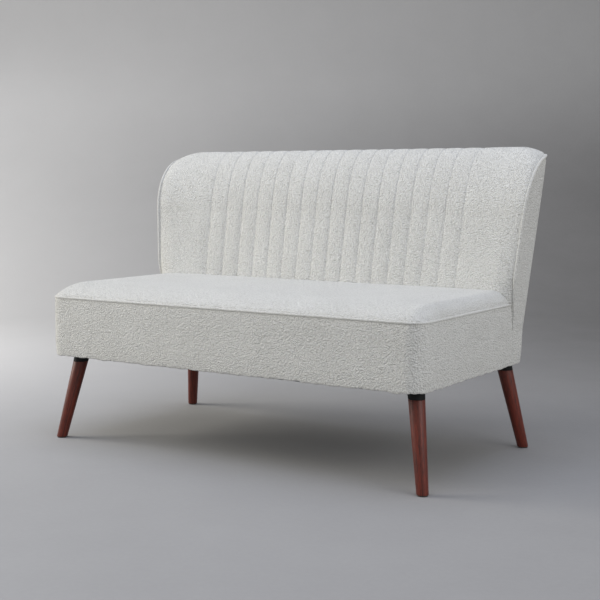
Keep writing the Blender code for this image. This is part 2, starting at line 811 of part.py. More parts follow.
def make_legs(finishes, group):
    """Legs, collars, glides and hanger bolts."""
    collar_low = LEG_TOP - COLLAR_HEIGHT
    for place, front in (("front", True), ("rear", False)):
        for name, side in SIDES:
            where = f"{place}_{name}"
            wood = leg_slice(side, front, GLIDE_WALL + GAP, collar_low - GAP)
            leg = add_piece(f"leg_{where}", wood, finishes["stained_wood"], group)
            cut_leg_bolt(leg, side, front, group)
            ring = leg_slice(side, front, collar_low, LEG_TOP)
            collar = add_piece(f"leg_collar_{where}", ring, finishes["black_plastic"], group)
            cut_leg_bolt(collar, side, front, group)
            foot, _ = leg_axis(side, front)
            disc = rod(foot, foot + Vector((0, 0, GLIDE_WALL)), FOOT_RADIUS - GLIDE_INSET, LEG_SIDES)
            add_piece(f"foot_glide_{where}", disc, finishes["glide"], group)
            start, end = hanger_bolt_ends(side, front)
            bolt = rod(start, end, BOLT_RADIUS)
            add_piece(f"hanger_bolt_{where}", bolt, finishes["steel"], group)


def back_inside_half(z):
    """Half of the room between the side panels at a height."""
    return flare_half(z) - OUTSIDE_WALL - SIDE_PANEL_WALL - 3 * GAP


def make_side_panels(finishes, group):
    """Flared plywood ends of the back, under the side seams."""
    tip = REAR_ARC - SIDE_PANEL_SETBACK - SIDE_PANEL_TIP
    last = seam_angle(tip, 0)
    levels = [(RAIL_TOP + GAP, None), (FLARE_START, None), (ROLL_START, None)]
    levels += [(None, last * k / ROLL_STEPS) for k in range(1, ROLL_STEPS + 1)]
    for name, side in SIDES:
        rings = []
        for z, angle in levels:
            if angle is None:
                front = seam_y(z) + SIDE_PANEL_SETBACK
            else:
                y, z = seam_ellipse(angle, 0)
                z -= SIDE_PANEL_SETBACK * math.sin(angle)
                front = y + SIDE_PANEL_SETBACK + lean(z)
            outer = flare_half(z) - OUTSIDE_WALL - GAP
            inner = outer - SIDE_PANEL_WALL
            rear = REAR_ARC + lean(z)
            ring = [(outer, front), (outer, rear), (inner, rear), (inner, front)]
            rings.append([(side * x, y, z) for x, y in ring])
        add_piece(f"side_panel_{name}", ring_solid(rings), finishes["plywood"], group)


def across_solid(section, half):
    """A section in y and z run across the back between two leaning sides."""
    return ring_solid([[(side * half(z), y, z) for y, z in section] for side in (-1, 1)])


def make_back_frame(finishes, rear_rail, group):
    """Uprights with their bolts, top and crest rails, slat and back board."""
    wood = finishes["softwood"]
    make_side_panels(finishes, group)
    foot_front = UPRIGHT_FRONT + lean(RAIL_TOP)
    foot_rear = FRAME_REAR - RAIL_THICK - GAP
    thick = foot_rear - foot_front
    head = ROLL_START + UPRIGHT_HEAD
    upright = [
        (foot_front, FRAME_BOTTOM),
        (foot_rear, FRAME_BOTTOM),
        (foot_rear, RAIL_TOP),
        (foot_front + thick + lean(head) - lean(RAIL_TOP), head),
        (foot_front + lean(head) - lean(RAIL_TOP), head),
        (foot_front, RAIL_TOP),
    ]
    for name, place in upright_places():
        rings = [
            [(place + shift, y, z) for y, z in upright]
            for shift in (-UPRIGHT_WIDTH / 2, UPRIGHT_WIDTH / 2)
        ]
        post = add_piece(f"back_upright_{name}", ring_solid(rings), wood, group)
        bolt_z = FRAME_BOTTOM + RAIL_HEIGHT / 2
        near = Vector((place, foot_front - BOLT_NUT, bolt_z))
        far = Vector((place, FRAME_REAR + BOLT_HEAD, bolt_z))
        for piece in (post, rear_rail):
            cut(piece, rod(near, far, BOLT_RADIUS + GAP), group)
        make_back_bolt(f"back_bolt_{name}", place, bolt_z, foot_front, finishes, group)
    make_back_rails(finishes, head, foot_front + thick - lean(RAIL_TOP), group)


def make_back_bolt(name, x, z, front, finishes, group):
    """A headed bolt with its nut, turned about its axis."""
    seat = FRAME_REAR + GAP
    nut = front - GAP
    profile = [
        (BOLT_HEAD_RADIUS, seat + BOLT_HEAD),
        (BOLT_HEAD_RADIUS, seat),
        (BOLT_RADIUS, seat),
        (BOLT_RADIUS, nut),
        (BOLT_NUT_RADIUS, nut),
        (BOLT_NUT_RADIUS, nut - BOLT_NUT),
    ]
    rings = []
    for radius, y in profile:
        ring = []
        for k in range(BOLT_SIDES):
            angle = 2 * math.pi * k / BOLT_SIDES
            ring.append((x + radius * math.cos(angle), y, z + radius * math.sin(angle)))
        rings.append(ring)
    add_piece(name, ring_solid(rings), finishes["steel"], group)


def make_back_rails(finishes, head, upright_rear, group):
    """Timbers across the back and the board under its foam."""
    wood = finishes["softwood"]
    sink = PANEL_WALL + BACK_FOAM_WALL + 2 * GAP
    front = BACK_FRONT + sink
    up = BACK_ROLL_HEIGHT - sink
    low = head + GAP
    start = math.asin(min(max((low - ROLL_START) / up, 0), 1))
    end = math.acos(min(max((CREST - FOAM_REAR) / (CREST - front), 0), 1))
    section = []
    for k in range(ROLL_STEPS + 1):
        angle = start + (end - start) * k / ROLL_STEPS
        z = ROLL_START + up * math.sin(angle)
        section.append((CREST - (CREST - front) * math.cos(angle) + lean(z), z))
    section.append((FOAM_REAR + lean(low), low))
    add_piece("top_rail", across_solid(section, back_inside_half), wood, group)
    crest_low = SEAM_TOP - CREST_RAIL_DROP
    crest_high = SEAM_TOP - 2 * GAP
    crest_front = FOAM_REAR + GAP
    crest_rear = BACK_REAR - OUTSIDE_WALL - GAP
    crest = [
        (crest_front + lean(crest_low), crest_low),
        (crest_rear + lean(crest_low), crest_low),
        (crest_rear + lean(crest_high), crest_high),
        (crest_front + lean(crest_high), crest_high),
    ]
    crest_shape = across_solid(crest, lambda z: flare_half(z) - REAR_CORNER)
    add_piece("crest_rail", crest_shape, wood, group)
    slat_low = RAIL_TOP + SLAT_FOOT
    slat_high = slat_low + SLAT_HEIGHT
    slat_front = upright_rear + GAP
    slat_rear = min(slat_front + SLAT_WALL, BACK_REAR - OUTSIDE_WALL - GAP)
    slat = [
        (slat_front + lean(slat_low), slat_low),
        (slat_rear + lean(slat_low), slat_low),
        (slat_rear + lean(slat_high), slat_high),
        (slat_front + lean(slat_high), slat_high),
    ]
    half = slat_half(slat_rear)
    add_piece("back_slat", across_solid(slat, lambda z: half), wood, group)
    board_low = RAIL_TOP + BOARD_FOOT
    board = [
        (BOARD_FRONT + lean(board_low), board_low),
        (BOARD_FRONT + BOARD_WALL + lean(board_low), board_low),
        (BOARD_FRONT + BOARD_WALL + lean(ROLL_START), ROLL_START),
        (BOARD_FRONT + lean(ROLL_START), ROLL_START),
    ]
    narrow = back_inside_half(board_low)
    add_piece("back_board", across_solid(board, lambda z: narrow), finishes["plywood"], group)


def slat_half(rear):
    """Half of the slat's length, clear of the round rear corners."""
    radius = REAR_CORNER - OUTSIDE_WALL - 2 * GAP
    past = max(0, rear - REAR_ARC)
    room = REAR_CORNER - math.sqrt(max(radius**2 - past**2, 0))
    return min(SEAT_HALF - room, back_inside_half(RAIL_TOP))


def make_back_foam(finishes, group):
    """Foam that fills the back between its board and the channelled panel."""
    sink = PANEL_WALL + BACK_FOAM_WALL
    front = BACK_FRONT + sink
    outer, inner = [], []
    columns, kept = panel_columns()
    columns = [columns[k] for k in kept][3:-3]
    for row in back_rows(RAIL_TOP + BOARD_FOOT):
        zone, value = row
        if zone == "rear" or CREST - (CREST - front) * math.cos(value) > FOAM_REAR - GAP:
            break
        places = [column_x(column, row) for column in columns]
        sunk = [back_point(x, row, PANEL_WALL + 2 * GAP, PANEL_EDGE + 2 * GAP) for x in places]
        outer.append(sunk)
        inner.append([back_core(x, row, front, BACK_ROLL_HEIGHT - sink) for x in places])
    add_piece("back_foam", grid_solid(outer, inner), finishes["foam"], group)


def back_core(x, row, front, up):
    """Point of the foam's inner face: flat, then rolled round the top rail."""
    zone, value = row
    crest = rear_limit(x, row_half(row)) - CREST_SETBACK
    if zone == "low":
        return x, front + lean(value), value
    z = ROLL_START + up * math.sin(value)
    return x, crest - (crest - front) * math.cos(value) + lean(z), z


def make_inside_back(finishes, group):
    """Channelled panel from behind the seat, over the roll, to the rear seam."""
    rows = back_rows(PANEL_FOOT)
    columns, kept = panel_columns()
    outer, inner = [], []
    for row in rows:
        places = [column_x(column, row) for column in columns]
        outer.append(
            [back_point(x, row, column_drop(c), 0) for x, c in zip(places, columns)]
        )
        inner.append([back_point(places[k], row, PANEL_WALL, PANEL_EDGE) for k in kept])
    add_piece("inside_back", grid_solid(outer, inner, kept), finishes["boucle"], group)


def outside_columns():
    """Columns round the right half of the outside back, from its seam: (kind, share or angle)."""
    sides = [("side", share) for share in SIDE_SHARES]
    arc = [("arc", angle) for angle in CORNER_ANGLES]
    rear = [("rear", share) for share in REAR_SHARES]
    return sides + arc + rear


def outside_plan(column, z, inset):
    """Plan place of a column of the outside back at a height: (x, y in the upright back)."""
    kind, value = column
    half = flare_half(z) - inset
    radius = REAR_CORNER - inset
    if kind == "side":
        start = seam_y(z) - lean(z) + SEAM_GAP
        return half, start + (REAR_ARC - start) * value
    if kind == "arc":
        x = flare_half(z) - REAR_CORNER + radius * math.cos(value)
        return x, REAR_ARC + radius * math.sin(value)
    return (flare_half(z) - REAR_CORNER) * (1 - value), BACK_REAR - inset


def outside_top(column):
    """Height at which a column of the outside back meets the seam."""
    _, y = outside_plan(column, ROLL_START, 0)
    return seam_ellipse(seam_angle(y - SEAM_GAP, 0), 0)[1] - SEAM_GAP


def outside_levels(column):
    """Heights of the rows of the outside back at a column."""
    straight = ROLL_START - 4 * SEAM_GAP
    top = outside_top(column)
    below = (SEAT_BOTTOM, SEAT_BOTTOM + BAND_BULGE_LOW, BAND_TOP, FLARE_START, straight)
    return [*below, straight + (top - straight) * TOP_ROW_SHARE, top]


def outside_inset(column, z):
    """How far the outside back is drawn in, at its hem and under its welt."""
    if z < BAND_TOP:
        return BAND_TUCK if z == SEAT_BOTTOM else 0
    _, y = outside_plan(column, z, 0)
    behind = y + lean(z) - seam_y(z)
    below = outside_top(column) - z
    return WELT_NEST * max(0, 1 - min(behind, below) / NEST_RUN)


def outside_point(place, z, inset):
    """Point of the outside back at a height, for a column on one side of the middle."""
    column, side = place
    x, y = outside_plan(column, z, inset)
    return side * x, y + lean(z), z


def make_outside_back(finishes, group):
    """Plain cover of the sides, the round corners and the rear, hemmed under the frame."""
    right = outside_columns()
    columns = [(column, 1) for column in right] + [(column, -1) for column in reversed(right[:-1])]
    levels = [outside_levels(column) for column, _ in columns]
    outer, inner = [], []
    hem = SEAT_BOTTOM + HEM_WALL
    outer.append([outside_point(place, SEAT_BOTTOM, REAR_HEM) for place in columns])
    inner.append([outside_point(place, hem, REAR_HEM) for place in columns])
    for heights in zip(*levels):
        places = list(zip(columns, heights))
        outer.append([outside_point(c, z, outside_inset(c[0], z)) for c, z in places])
        inner.append([outside_point(c, max(z, hem), OUTSIDE_WALL) for c, z in places])
    add_piece("outside_back", grid_solid(outer, inner), finishes["boucle"], group)


def make_back_welt(finishes, group):
    """Cord along the side seams and the top rear seam of the back."""
    right = []
    foot = WELT_HEIGHT + 3 * WELT_RADIUS
    for z in (foot, FLARE_START, (FLARE_START + ROLL_START) / 2, ROLL_START):
        right.append((flare_half(z), SEAM_FRONT + lean(z), z))
    last = seam_angle(REAR_ARC, 0)
    for k in range(1, ROLL_STEPS + 1):
        y, z = seam_ellipse(last * k / ROLL_STEPS, 0)
        right.append((flare_half(z), y + lean(z), z))
    for angle in CORNER_ANGLES[1:]:
        y = REAR_ARC + REAR_CORNER * math.sin(angle)
        z = seam_ellipse(seam_angle(y, 0), 0)[1]
        x = flare_half(z) - REAR_CORNER + REAR_CORNER * math.cos(angle)
        right.append((x, y + lean(z), z))
    points = right + [(-x, y, z) for x, y, z in reversed(right)]
    tube("back_welt", points, WELT_RADIUS, finishes["boucle"], group)


def main():
    """Builds the loveseat."""
    clear_scene()
    finishes = make_finishes()
    seat = add_group("seat_assembly")
    back = add_group("back_assembly")
    legs = add_group("leg_assembly")
    rear_rail = make_seat_frame(finishes, seat)
    make_springs(finishes, seat)
    make_seat_filling(finishes, seat)
    make_seat_covers(finishes, seat)
    make_back_frame(finishes, rear_rail, back)
    make_back_foam(finishes, back)
    make_inside_back(finishes, back)
    make_outside_back(finishes, back)
    make_back_welt(finishes, back)
    make_legs(finishes, legs)


main()
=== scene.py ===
"""Looks of the armless loveseat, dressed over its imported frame.

Its covers are woven boucle, its legs stained beech with plastic collars. Metres, +Z up, the front
faces -Y. Covers are surfaces of the frame's own form, padded by cloth simulation where they are soft.
"""

import json
import logging
import math
from collections.abc import Callable
from dataclasses import dataclass, field
from enum import Enum

import bpy
import numpy as np
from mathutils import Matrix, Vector


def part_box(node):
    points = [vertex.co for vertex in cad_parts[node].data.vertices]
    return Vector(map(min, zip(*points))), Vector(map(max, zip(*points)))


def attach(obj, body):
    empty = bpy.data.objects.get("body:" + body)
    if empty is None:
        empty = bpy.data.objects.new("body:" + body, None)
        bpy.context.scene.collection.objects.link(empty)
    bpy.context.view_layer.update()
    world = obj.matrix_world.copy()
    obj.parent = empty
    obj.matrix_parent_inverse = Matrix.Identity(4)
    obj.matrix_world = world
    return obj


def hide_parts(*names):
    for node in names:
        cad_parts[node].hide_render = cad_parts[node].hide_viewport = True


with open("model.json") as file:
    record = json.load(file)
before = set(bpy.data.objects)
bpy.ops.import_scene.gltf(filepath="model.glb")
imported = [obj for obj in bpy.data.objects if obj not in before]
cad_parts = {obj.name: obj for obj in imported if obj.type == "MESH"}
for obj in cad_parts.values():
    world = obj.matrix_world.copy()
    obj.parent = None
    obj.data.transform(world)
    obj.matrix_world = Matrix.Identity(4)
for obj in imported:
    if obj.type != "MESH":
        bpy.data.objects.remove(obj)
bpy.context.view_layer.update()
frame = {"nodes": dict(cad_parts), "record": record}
LOG = logging.getLogger("loveseat")
SHADER = "Principled BSDF"
COVER_ANGLE = math.radians(60)  # edges of a cover that stay sharp
CORNERS = ("front_left", "front_right", "rear_left", "rear_right")


class Slot(Enum):
    """Material slots of the record."""

    BOUCLE = "boucle"
    LEG = "stained_wood"
    COLLAR = "black_plastic"
    GLIDE = "nylon"
    TIMBER = "softwood"
    PLY = "plywood"
    STEEL = "steel"
    FELT = "felt"
    FOAM = "foam"
    LINING = "lining"


def to_linear(code: str) -> tuple[float, float, float, float]:
    """Turns an sRGB hex colour into linear light.

    Args:
        code: Colour as "#RRGGBB".

    Returns:
        Red, green, blue and alpha.
    """
    shares = [int(code[k : k + 2], 16) / 255 for k in (1, 3, 5)]
    linear = [s / 12.92 if s <= 0.04045 else ((s + 0.055) / 1.055) ** 2.4 for s in shares]
    return (*linear, 1.0)


def add_node(
    tree: bpy.types.NodeTree, kind: str, inputs: dict | None = None, **settings: object
) -> bpy.types.Node:
    """Adds a node with its settings, values and links.

    Args:
        tree: Node tree of the material.
        kind: Node type.
        inputs: Values or output sockets, by input name or number.
        settings: Properties of the node.

    Returns:
        The new node.
    """
    node = tree.nodes.new(kind)
    for name, value in settings.items():
        setattr(node, name, value)
    for key, value in (inputs or {}).items():
        if isinstance(value, bpy.types.NodeSocket):
            tree.links.new(value, node.inputs[key])
        else:
            node.inputs[key].default_value = value
    return node


def blank_material(name: str, values: dict[str, object]) -> tuple:
    """Starts a material from a Principled shader.

    Args:
        name: Name of the material.
        values: Values of the shader's own sockets.

    Returns:
        The material and its node tree.
    """
    material = bpy.data.materials.new(name)
    material.use_nodes = True
    for key, value in values.items():
        material.node_tree.nodes[SHADER].inputs[key].default_value = value
    return material, material.node_tree


def colour_and_emboss(
    tree: bpy.types.NodeTree,
    tone: bpy.types.NodeSocket,
    stops: dict[float, str],
    height: bpy.types.NodeSocket,
    strength: float,
    depth: float,
) -> None:
    """Colours a material along a ramp and raises its surface.

    Args:
        tree: Node tree of the material.
        tone: Place on the ramp.
        stops: Two colours by their place on the ramp.
        height: Height of the surface.
        strength: Share of the relief that shows.
        depth: Relief of a height of 1, in metres.
    """
    shader = tree.nodes[SHADER]
    ramp = add_node(tree, "ShaderNodeValToRGB", {"Fac": tone})
    for element, (place, colour) in zip(ramp.color_ramp.elements, stops.items()):
        element.position = place
        element.color = to_linear(colour)
    tree.links.new(ramp.outputs["Color"], shader.inputs["Base Color"])
    values = {"Height": height, "Strength": strength, "Distance": depth}
    bump = add_node(tree, "ShaderNodeBump", values)
    tree.links.new(bump.outputs["Normal"], shader.inputs["Normal"])


@dataclass(frozen=True)
class Boucle:
    """Boucle woven from looped, slubbed wool-mix yarn.

    The loops give a matt, nubby grain with painted shade in the gaps between them, the slubs short
    streaks along both thread directions, and the loose fibres a soft bloom where the cloth turns away.
    """

    name: str = "woven_boucle"
    pale: str = "#F4F4F0"
    deep: str = "#B2B0AA"
    loop: float = 0.0041
    loop_level: float = 0.40  # mean of the loops' pattern
    thread: float = 0.0030  # real threads are about 2 mm, drawn coarser so that they show
    slub: float = 0.009
    clouds: float = 9.0  # faint clouds of colour to the metre
    streaks: float = 1.0  # 0 where no thread direction shows
    relief: float = 0.0064
    weave_tint: float = 0.14
    # painted shade: the colour darkens toward the gaps between loops
    loop_gap_shade: float = -0.25
    heather_tint: float = 0.32
    cloud_tint: float = 0.10
    tint_spread: float = 0.30
    loop_relief: float = -0.4
    weave_relief: float = 0.25

    def loops(self, tree: bpy.types.NodeTree, place: bpy.types.NodeSocket) -> bpy.types.NodeSocket:
        """Adds the pattern of the yarn's loops, which wander a little.

        Args:
            tree: Node tree of the material.
            place: Place on the piece.

        Returns:
            The pattern, low in the middle of a loop.
        """
        values = {"Vector": place, "Scale": 0.3 / self.loop, "Detail": 1.0}
        drift = add_node(tree, "ShaderNodeTexNoise", values)
        values = {0: drift.outputs["Color"], 1: (self.loop, self.loop, self.loop)}
        wander = add_node(tree, "ShaderNodeVectorMath", values, operation="MULTIPLY")
        values = {0: place, 1: wander.outputs["Vector"]}
        bent = add_node(tree, "ShaderNodeVectorMath", values, operation="ADD")
        values = {"Vector": bent.outputs["Vector"], "Scale": 1 / self.loop}
        values |= {"Randomness": 0.9, "Smoothness": 0.4}
        cells = add_node(tree, "ShaderNodeTexVoronoi", values, feature="SMOOTH_F1")
        return cells.outputs["Distance"]

    def weave(self, tree: bpy.types.NodeTree, cloth: bpy.types.NodeSocket) -> bpy.types.NodeSocket:
        """Adds the slubs of both thread directions.

        Args:
            tree: Node tree of the material.
            cloth: Place along the cloth, in metres.

        Returns:
            The sum of both directions.
        """
        threads = []
        for scale in ((self.thread, self.slub, 1.0), (self.slub, self.thread, 1.0)):
            values = {"Vector": cloth, "Scale": tuple(1 / size for size in scale)}
            run = add_node(tree, "ShaderNodeMapping", values)
            values = {"Vector": run.outputs["Vector"], "Scale": 1.0, "Detail": 2.0, "Roughness": 0.6}
            yarn = add_node(tree, "ShaderNodeTexNoise", values, noise_dimensions="2D")
            threads.append(yarn.outputs["Fac"])
        both = add_node(tree, "ShaderNodeMath", {0: threads[0], 1: threads[1]}, operation="ADD")
        return both.outputs["Value"]

    def material(self) -> bpy.types.Material:
        """Builds the material.

        Returns:
            The boucle material.
        """
        values = {"Roughness": 0.94, "Sheen Weight": 0.22, "Sheen Roughness": 0.45}
        values["Specular IOR Level"] = 0.25
        material, tree = blank_material(self.name, values)
        places = add_node(tree, "ShaderNodeTexCoord").outputs
        loops = self.loops(tree, places["Object"])
        weave = self.weave(tree, places["UV"])
        fibres = []
        for scale, detail, rough in (
            (1.1 / self.loop, 1.5, 0.6),
            (1.3 / self.loop, 3.0, 0.75),
            (self.clouds, 2.0, 0.5),
        ):
            values = {"Vector": places["Object"], "Scale": scale, "Detail": detail, "Roughness": rough}
            fibres.append(add_node(tree, "ShaderNodeTexNoise", values).outputs["Fac"])
        nubs, heather, cloud = fibres
        tints = (
            (weave, self.weave_tint * self.streaks, self.weave_tint * self.streaks),
            # Painted shade: the loops' pattern darkens the colour toward the gaps between loops, where
            # the relief sinks
            (loops, self.loop_gap_shade, self.loop_gap_shade * self.loop_level),
            (heather, self.heather_tint, self.heather_tint / 2),
            (cloud, self.cloud_tint, self.cloud_tint / 2),
        )
        total = 0.0
        for pattern, tint, _ in tints:
            values = {0: pattern, 1: tint, 2: total}
            total = add_node(tree, "ShaderNodeMath", values, operation="MULTIPLY_ADD").outputs["Value"]
        middle = sum(mean for _, _, mean in tints)
        low, high = middle - self.tint_spread, middle + self.tint_spread
        tone = add_node(tree, "ShaderNodeMapRange", {"Value": total, "From Min": low, "From Max": high})
        height = nubs
        for pattern, share in ((loops, self.loop_relief), (weave, self.weave_relief * self.streaks)):
            values = {0: pattern, 1: share, 2: height}
            height = add_node(tree, "ShaderNodeMath", values, operation="MULTIPLY_ADD").outputs["Value"]
        stops = {0.0: self.deep, 1.0: self.pale}
        colour_and_emboss(tree, tone.outputs["Result"], stops, height, 1.0, self.relief)
        return material


@dataclass(frozen=True)
class StainedBeech:
    """Turned beech under a red-brown stain and a thin satin lacquer, with fine dark grain lengthways."""

    name: str = "stained_beech"
    pale: str = "#702B1B"
    deep: str = "#34120B"
    grain: float = 0.0035
    fleck: float = 0.0011
    run: float = 0.090
    relief: float = 0.0003

    def material(self) -> bpy.types.Material:
        """Builds the material.

        Returns:
            The stained wood.
        """
        values = {"Coat Weight": 0.08, "Coat Roughness": 0.35, "Specular IOR Level": 0.35}
        material, tree = blank_material(self.name, values)
        place = add_node(tree, "ShaderNodeAttribute", attribute_name="grain").outputs["Vector"]
        streams = []
        for width, length, detail in ((self.grain, self.run, 4.0), (self.fleck, self.run / 6, 2.0)):
            values = {"Vector": place, "Scale": (1 / width, 1 / width, 1 / length)}
            stretched = add_node(tree, "ShaderNodeMapping", values)
            values = {"Vector": stretched.outputs["Vector"], "Scale": 1.0, "Detail": detail}
            streams.append(add_node(tree, "ShaderNodeTexNoise", values).outputs["Fac"])
        both = add_node(tree, "ShaderNodeMath", {0: streams[0], 1: streams[1]}, operation="ADD")
        figure = both.outputs["Value"]
        values = {"Value": figure, "From Min": 0.70, "From Max": 1.25}
        tone = add_node(tree, "ShaderNodeMapRange", values)
        values = {"Value": figure, "From Min": 0.6, "From Max": 1.4, "To Min": 0.52, "To Max": 0.38}
        rough = add_node(tree, "ShaderNodeMapRange", values)
        tree.links.new(rough.outputs["Result"], tree.nodes[SHADER].inputs["Roughness"])
        stops = {0.0: self.deep, 1.0: self.pale}
        colour_and_emboss(tree, tone.outputs["Result"], stops, figure, 0.2, self.relief)
        return material


@dataclass(frozen=True)
class Plain:
    """A finish of one substance with a fine even grain, such as moulded plastic, felt, foam or steel."""

    name: str
    pale: str
    deep: str
    grit: float
    roughness: float
    metallic: float = 0.0
    stretch: tuple[float, float, float] = (1.0, 1.0, 1.0)
    relief: float = 0.0002
    specular: float = 0.5

    def material(self) -> bpy.types.Material:
        """Builds the material.

        Returns:
            The plain material with its grain.
        """
        values = {"Roughness": self.roughness, "Metallic": self.metallic}
        values["Specular IOR Level"] = self.specular
        material, tree = blank_material(self.name, values)
        place = add_node(tree, "ShaderNodeTexCoord").outputs["Object"]
        scale = tuple(1 / (self.grit * share) for share in self.stretch)
        run = add_node(tree, "ShaderNodeMapping", {"Vector": place, "Scale": scale})
        values = {"Vector": run.outputs["Vector"], "Scale": 1.0, "Detail": 3.0, "Roughness": 0.6}
        grain = add_node(tree, "ShaderNodeTexNoise", values).outputs["Fac"]
        colour_and_emboss(tree, grain, {0.3: self.deep, 0.7: self.pale}, grain, 0.4, self.relief)
        return material


@dataclass(frozen=True)
class Screed:
    """Rubbed cement finish on the studio's sweep: matt, faintly cloudy, with fine pores; its lightness
    carries painted light and shade.
    """

    name: str = "rubbed_cement_with_painted_light"
    dark: str = "#6E6D6D"
    light: str = "#DAD9D9"
    cloud: float = 0.30
    cloud_tint: float = 0.07
    pore: float = 0.012  # real pores are about 2 mm, drawn coarser so that they show
    pore_tint: float = 0.05
    relief: float = 0.0006

    def material(self) -> bpy.types.Material:
        """Builds the material.

        Returns:
            The cement, its lightness from the sweep's attribute of painted light and shade.
        """
        material, tree = blank_material(self.name, {"Roughness": 0.8})
        place = add_node(tree, "ShaderNodeTexCoord").outputs["Object"]
        # Painted light and shade: the sweep's attribute sets how light each place is
        total = add_node(tree, "ShaderNodeAttribute", attribute_name="painted_light").outputs["Fac"]
        grain = total
        for size, tint in ((self.cloud, self.cloud_tint), (self.pore, self.pore_tint)):
            values = {"Vector": place, "Scale": 1 / size, "Detail": 4.0, "Roughness": 0.65}
            grain = add_node(tree, "ShaderNodeTexNoise", values).outputs["Fac"]
            values = {0: grain, 1: tint, 2: total}
            total = add_node(tree, "ShaderNodeMath", values, operation="MULTIPLY_ADD").outputs["Value"]
        values = {0: total, 1: (self.cloud_tint + self.pore_tint) / 2}
        level = add_node(tree, "ShaderNodeMath", values, operation="SUBTRACT").outputs["Value"]
        colour_and_emboss(tree, level, {0.0: self.dark, 1.0: self.light}, grain, 0.3, self.relief)
        return material


class Wardrobe:
    """The loveseat's materials by slot, each made once."""

    def __init__(self) -> None:
        """Builds every material."""
        run = (12.0, 1.0, 1.0)
        finishes = {
            Slot.BOUCLE: Boucle(),
            Slot.LEG: StainedBeech(),
            # Moulded: matt black with a faint grain
            Slot.COLLAR: Plain(
                "moulded_polypropylene", "#0E0E0F", "#09090A", 0.0012, 0.62, specular=0.25
            ),
            # Turned: dull dark brown
            Slot.GLIDE: Plain("turned_nylon", "#3B332D", "#2E2823", 0.0015, 0.55),
            # Sawn: pale yellow-brown with streaks lengthways
            Slot.TIMBER: Plain("sawn_pine", "#D6B88C", "#B88F5E", 0.004, 0.72, stretch=run),
            # Peeled and pressed: pale, with even streaks
            Slot.PLY: Plain("birch_plywood", "#DCC49C", "#C6A777", 0.005, 0.65, stretch=run),
            # Drawn and oiled: a dull grey shine
            Slot.STEEL: Plain("oiled_spring_steel", "#8A8B8D", "#6E6F72", 0.002, 0.34, metallic=1.0),
            # Needled: grey, fluffy and matt
            Slot.FELT: Plain(
                "needled_felt", "#9A9A9C", "#7C7C80", 0.003, 0.95, stretch=(3.0, 1.0, 1.0), relief=0.001
            ),
            # Cut from a block: cream, matt and full of pores
            Slot.FOAM: Plain("polyether_foam", "#E9E2C8", "#D8CFAF", 0.002, 0.92, relief=0.001),
            # Bonded fibres: nearly black, matt and faintly speckled
            Slot.LINING: Plain("spunbond_lining", "#2A2A2B", "#1C1C1D", 0.0022, 0.9, relief=0.0004),
        }
        self.materials = {slot: finish.material() for slot, finish in finishes.items()}
        # Painted shade: the piping gets a darker copy of the boucle to offset the light on its rounded
        # top; the cord is covered in the same cloth
        shaded_boucle = Boucle("boucle_painted_darker", "#E6E6E2", "#A6A49E", streaks=0.0, relief=0.0030)
        self.piping = shaded_boucle.material()

    def dress(self, piece: bpy.types.Object, slot: Slot, *nodes: str) -> None:
        """Gives a new piece its material and says which nodes it stands for.

        Args:
            piece: The new piece.
            slot: Record slot of its finish.
            nodes: CAD nodes that it replaces.
        """
        if not piece.data.materials:
            piece.data.materials.append(self.materials[slot])
        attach(piece, "root")
        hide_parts(*nodes)
        LOG.info("%s: %d faces for %s", piece.name, len(piece.data.polygons), ", ".join(nodes))

    def dress_frame(self) -> None:
        """Gives the CAD nodes that stay the material of their slot."""
        for entry in frame["record"]["subparts"]:
            node = frame["nodes"][entry["node"]]
            node.data.materials.clear()
            node.data.materials.append(self.materials[Slot(entry["material_slot"])])


def quarter(share: np.ndarray) -> np.ndarray:
    """Height of a quarter round, from 0 at its edge to 1 from share 1 on."""
    return np.sqrt(1 - (1 - np.clip(share, 0, 1)) ** 2)


def slope(share: np.ndarray) -> np.ndarray:
    """Height of a pillowed edge, from 0 with a moderate slope to 1 from share 1 on."""
    return 1 - (1 - np.clip(share, 0, 1)) ** 2


def eased(share: np.ndarray) -> np.ndarray:
    """A smooth step from 0 to 1."""
    share = np.clip(share, 0, 1)
    return share * share * (3 - 2 * share)


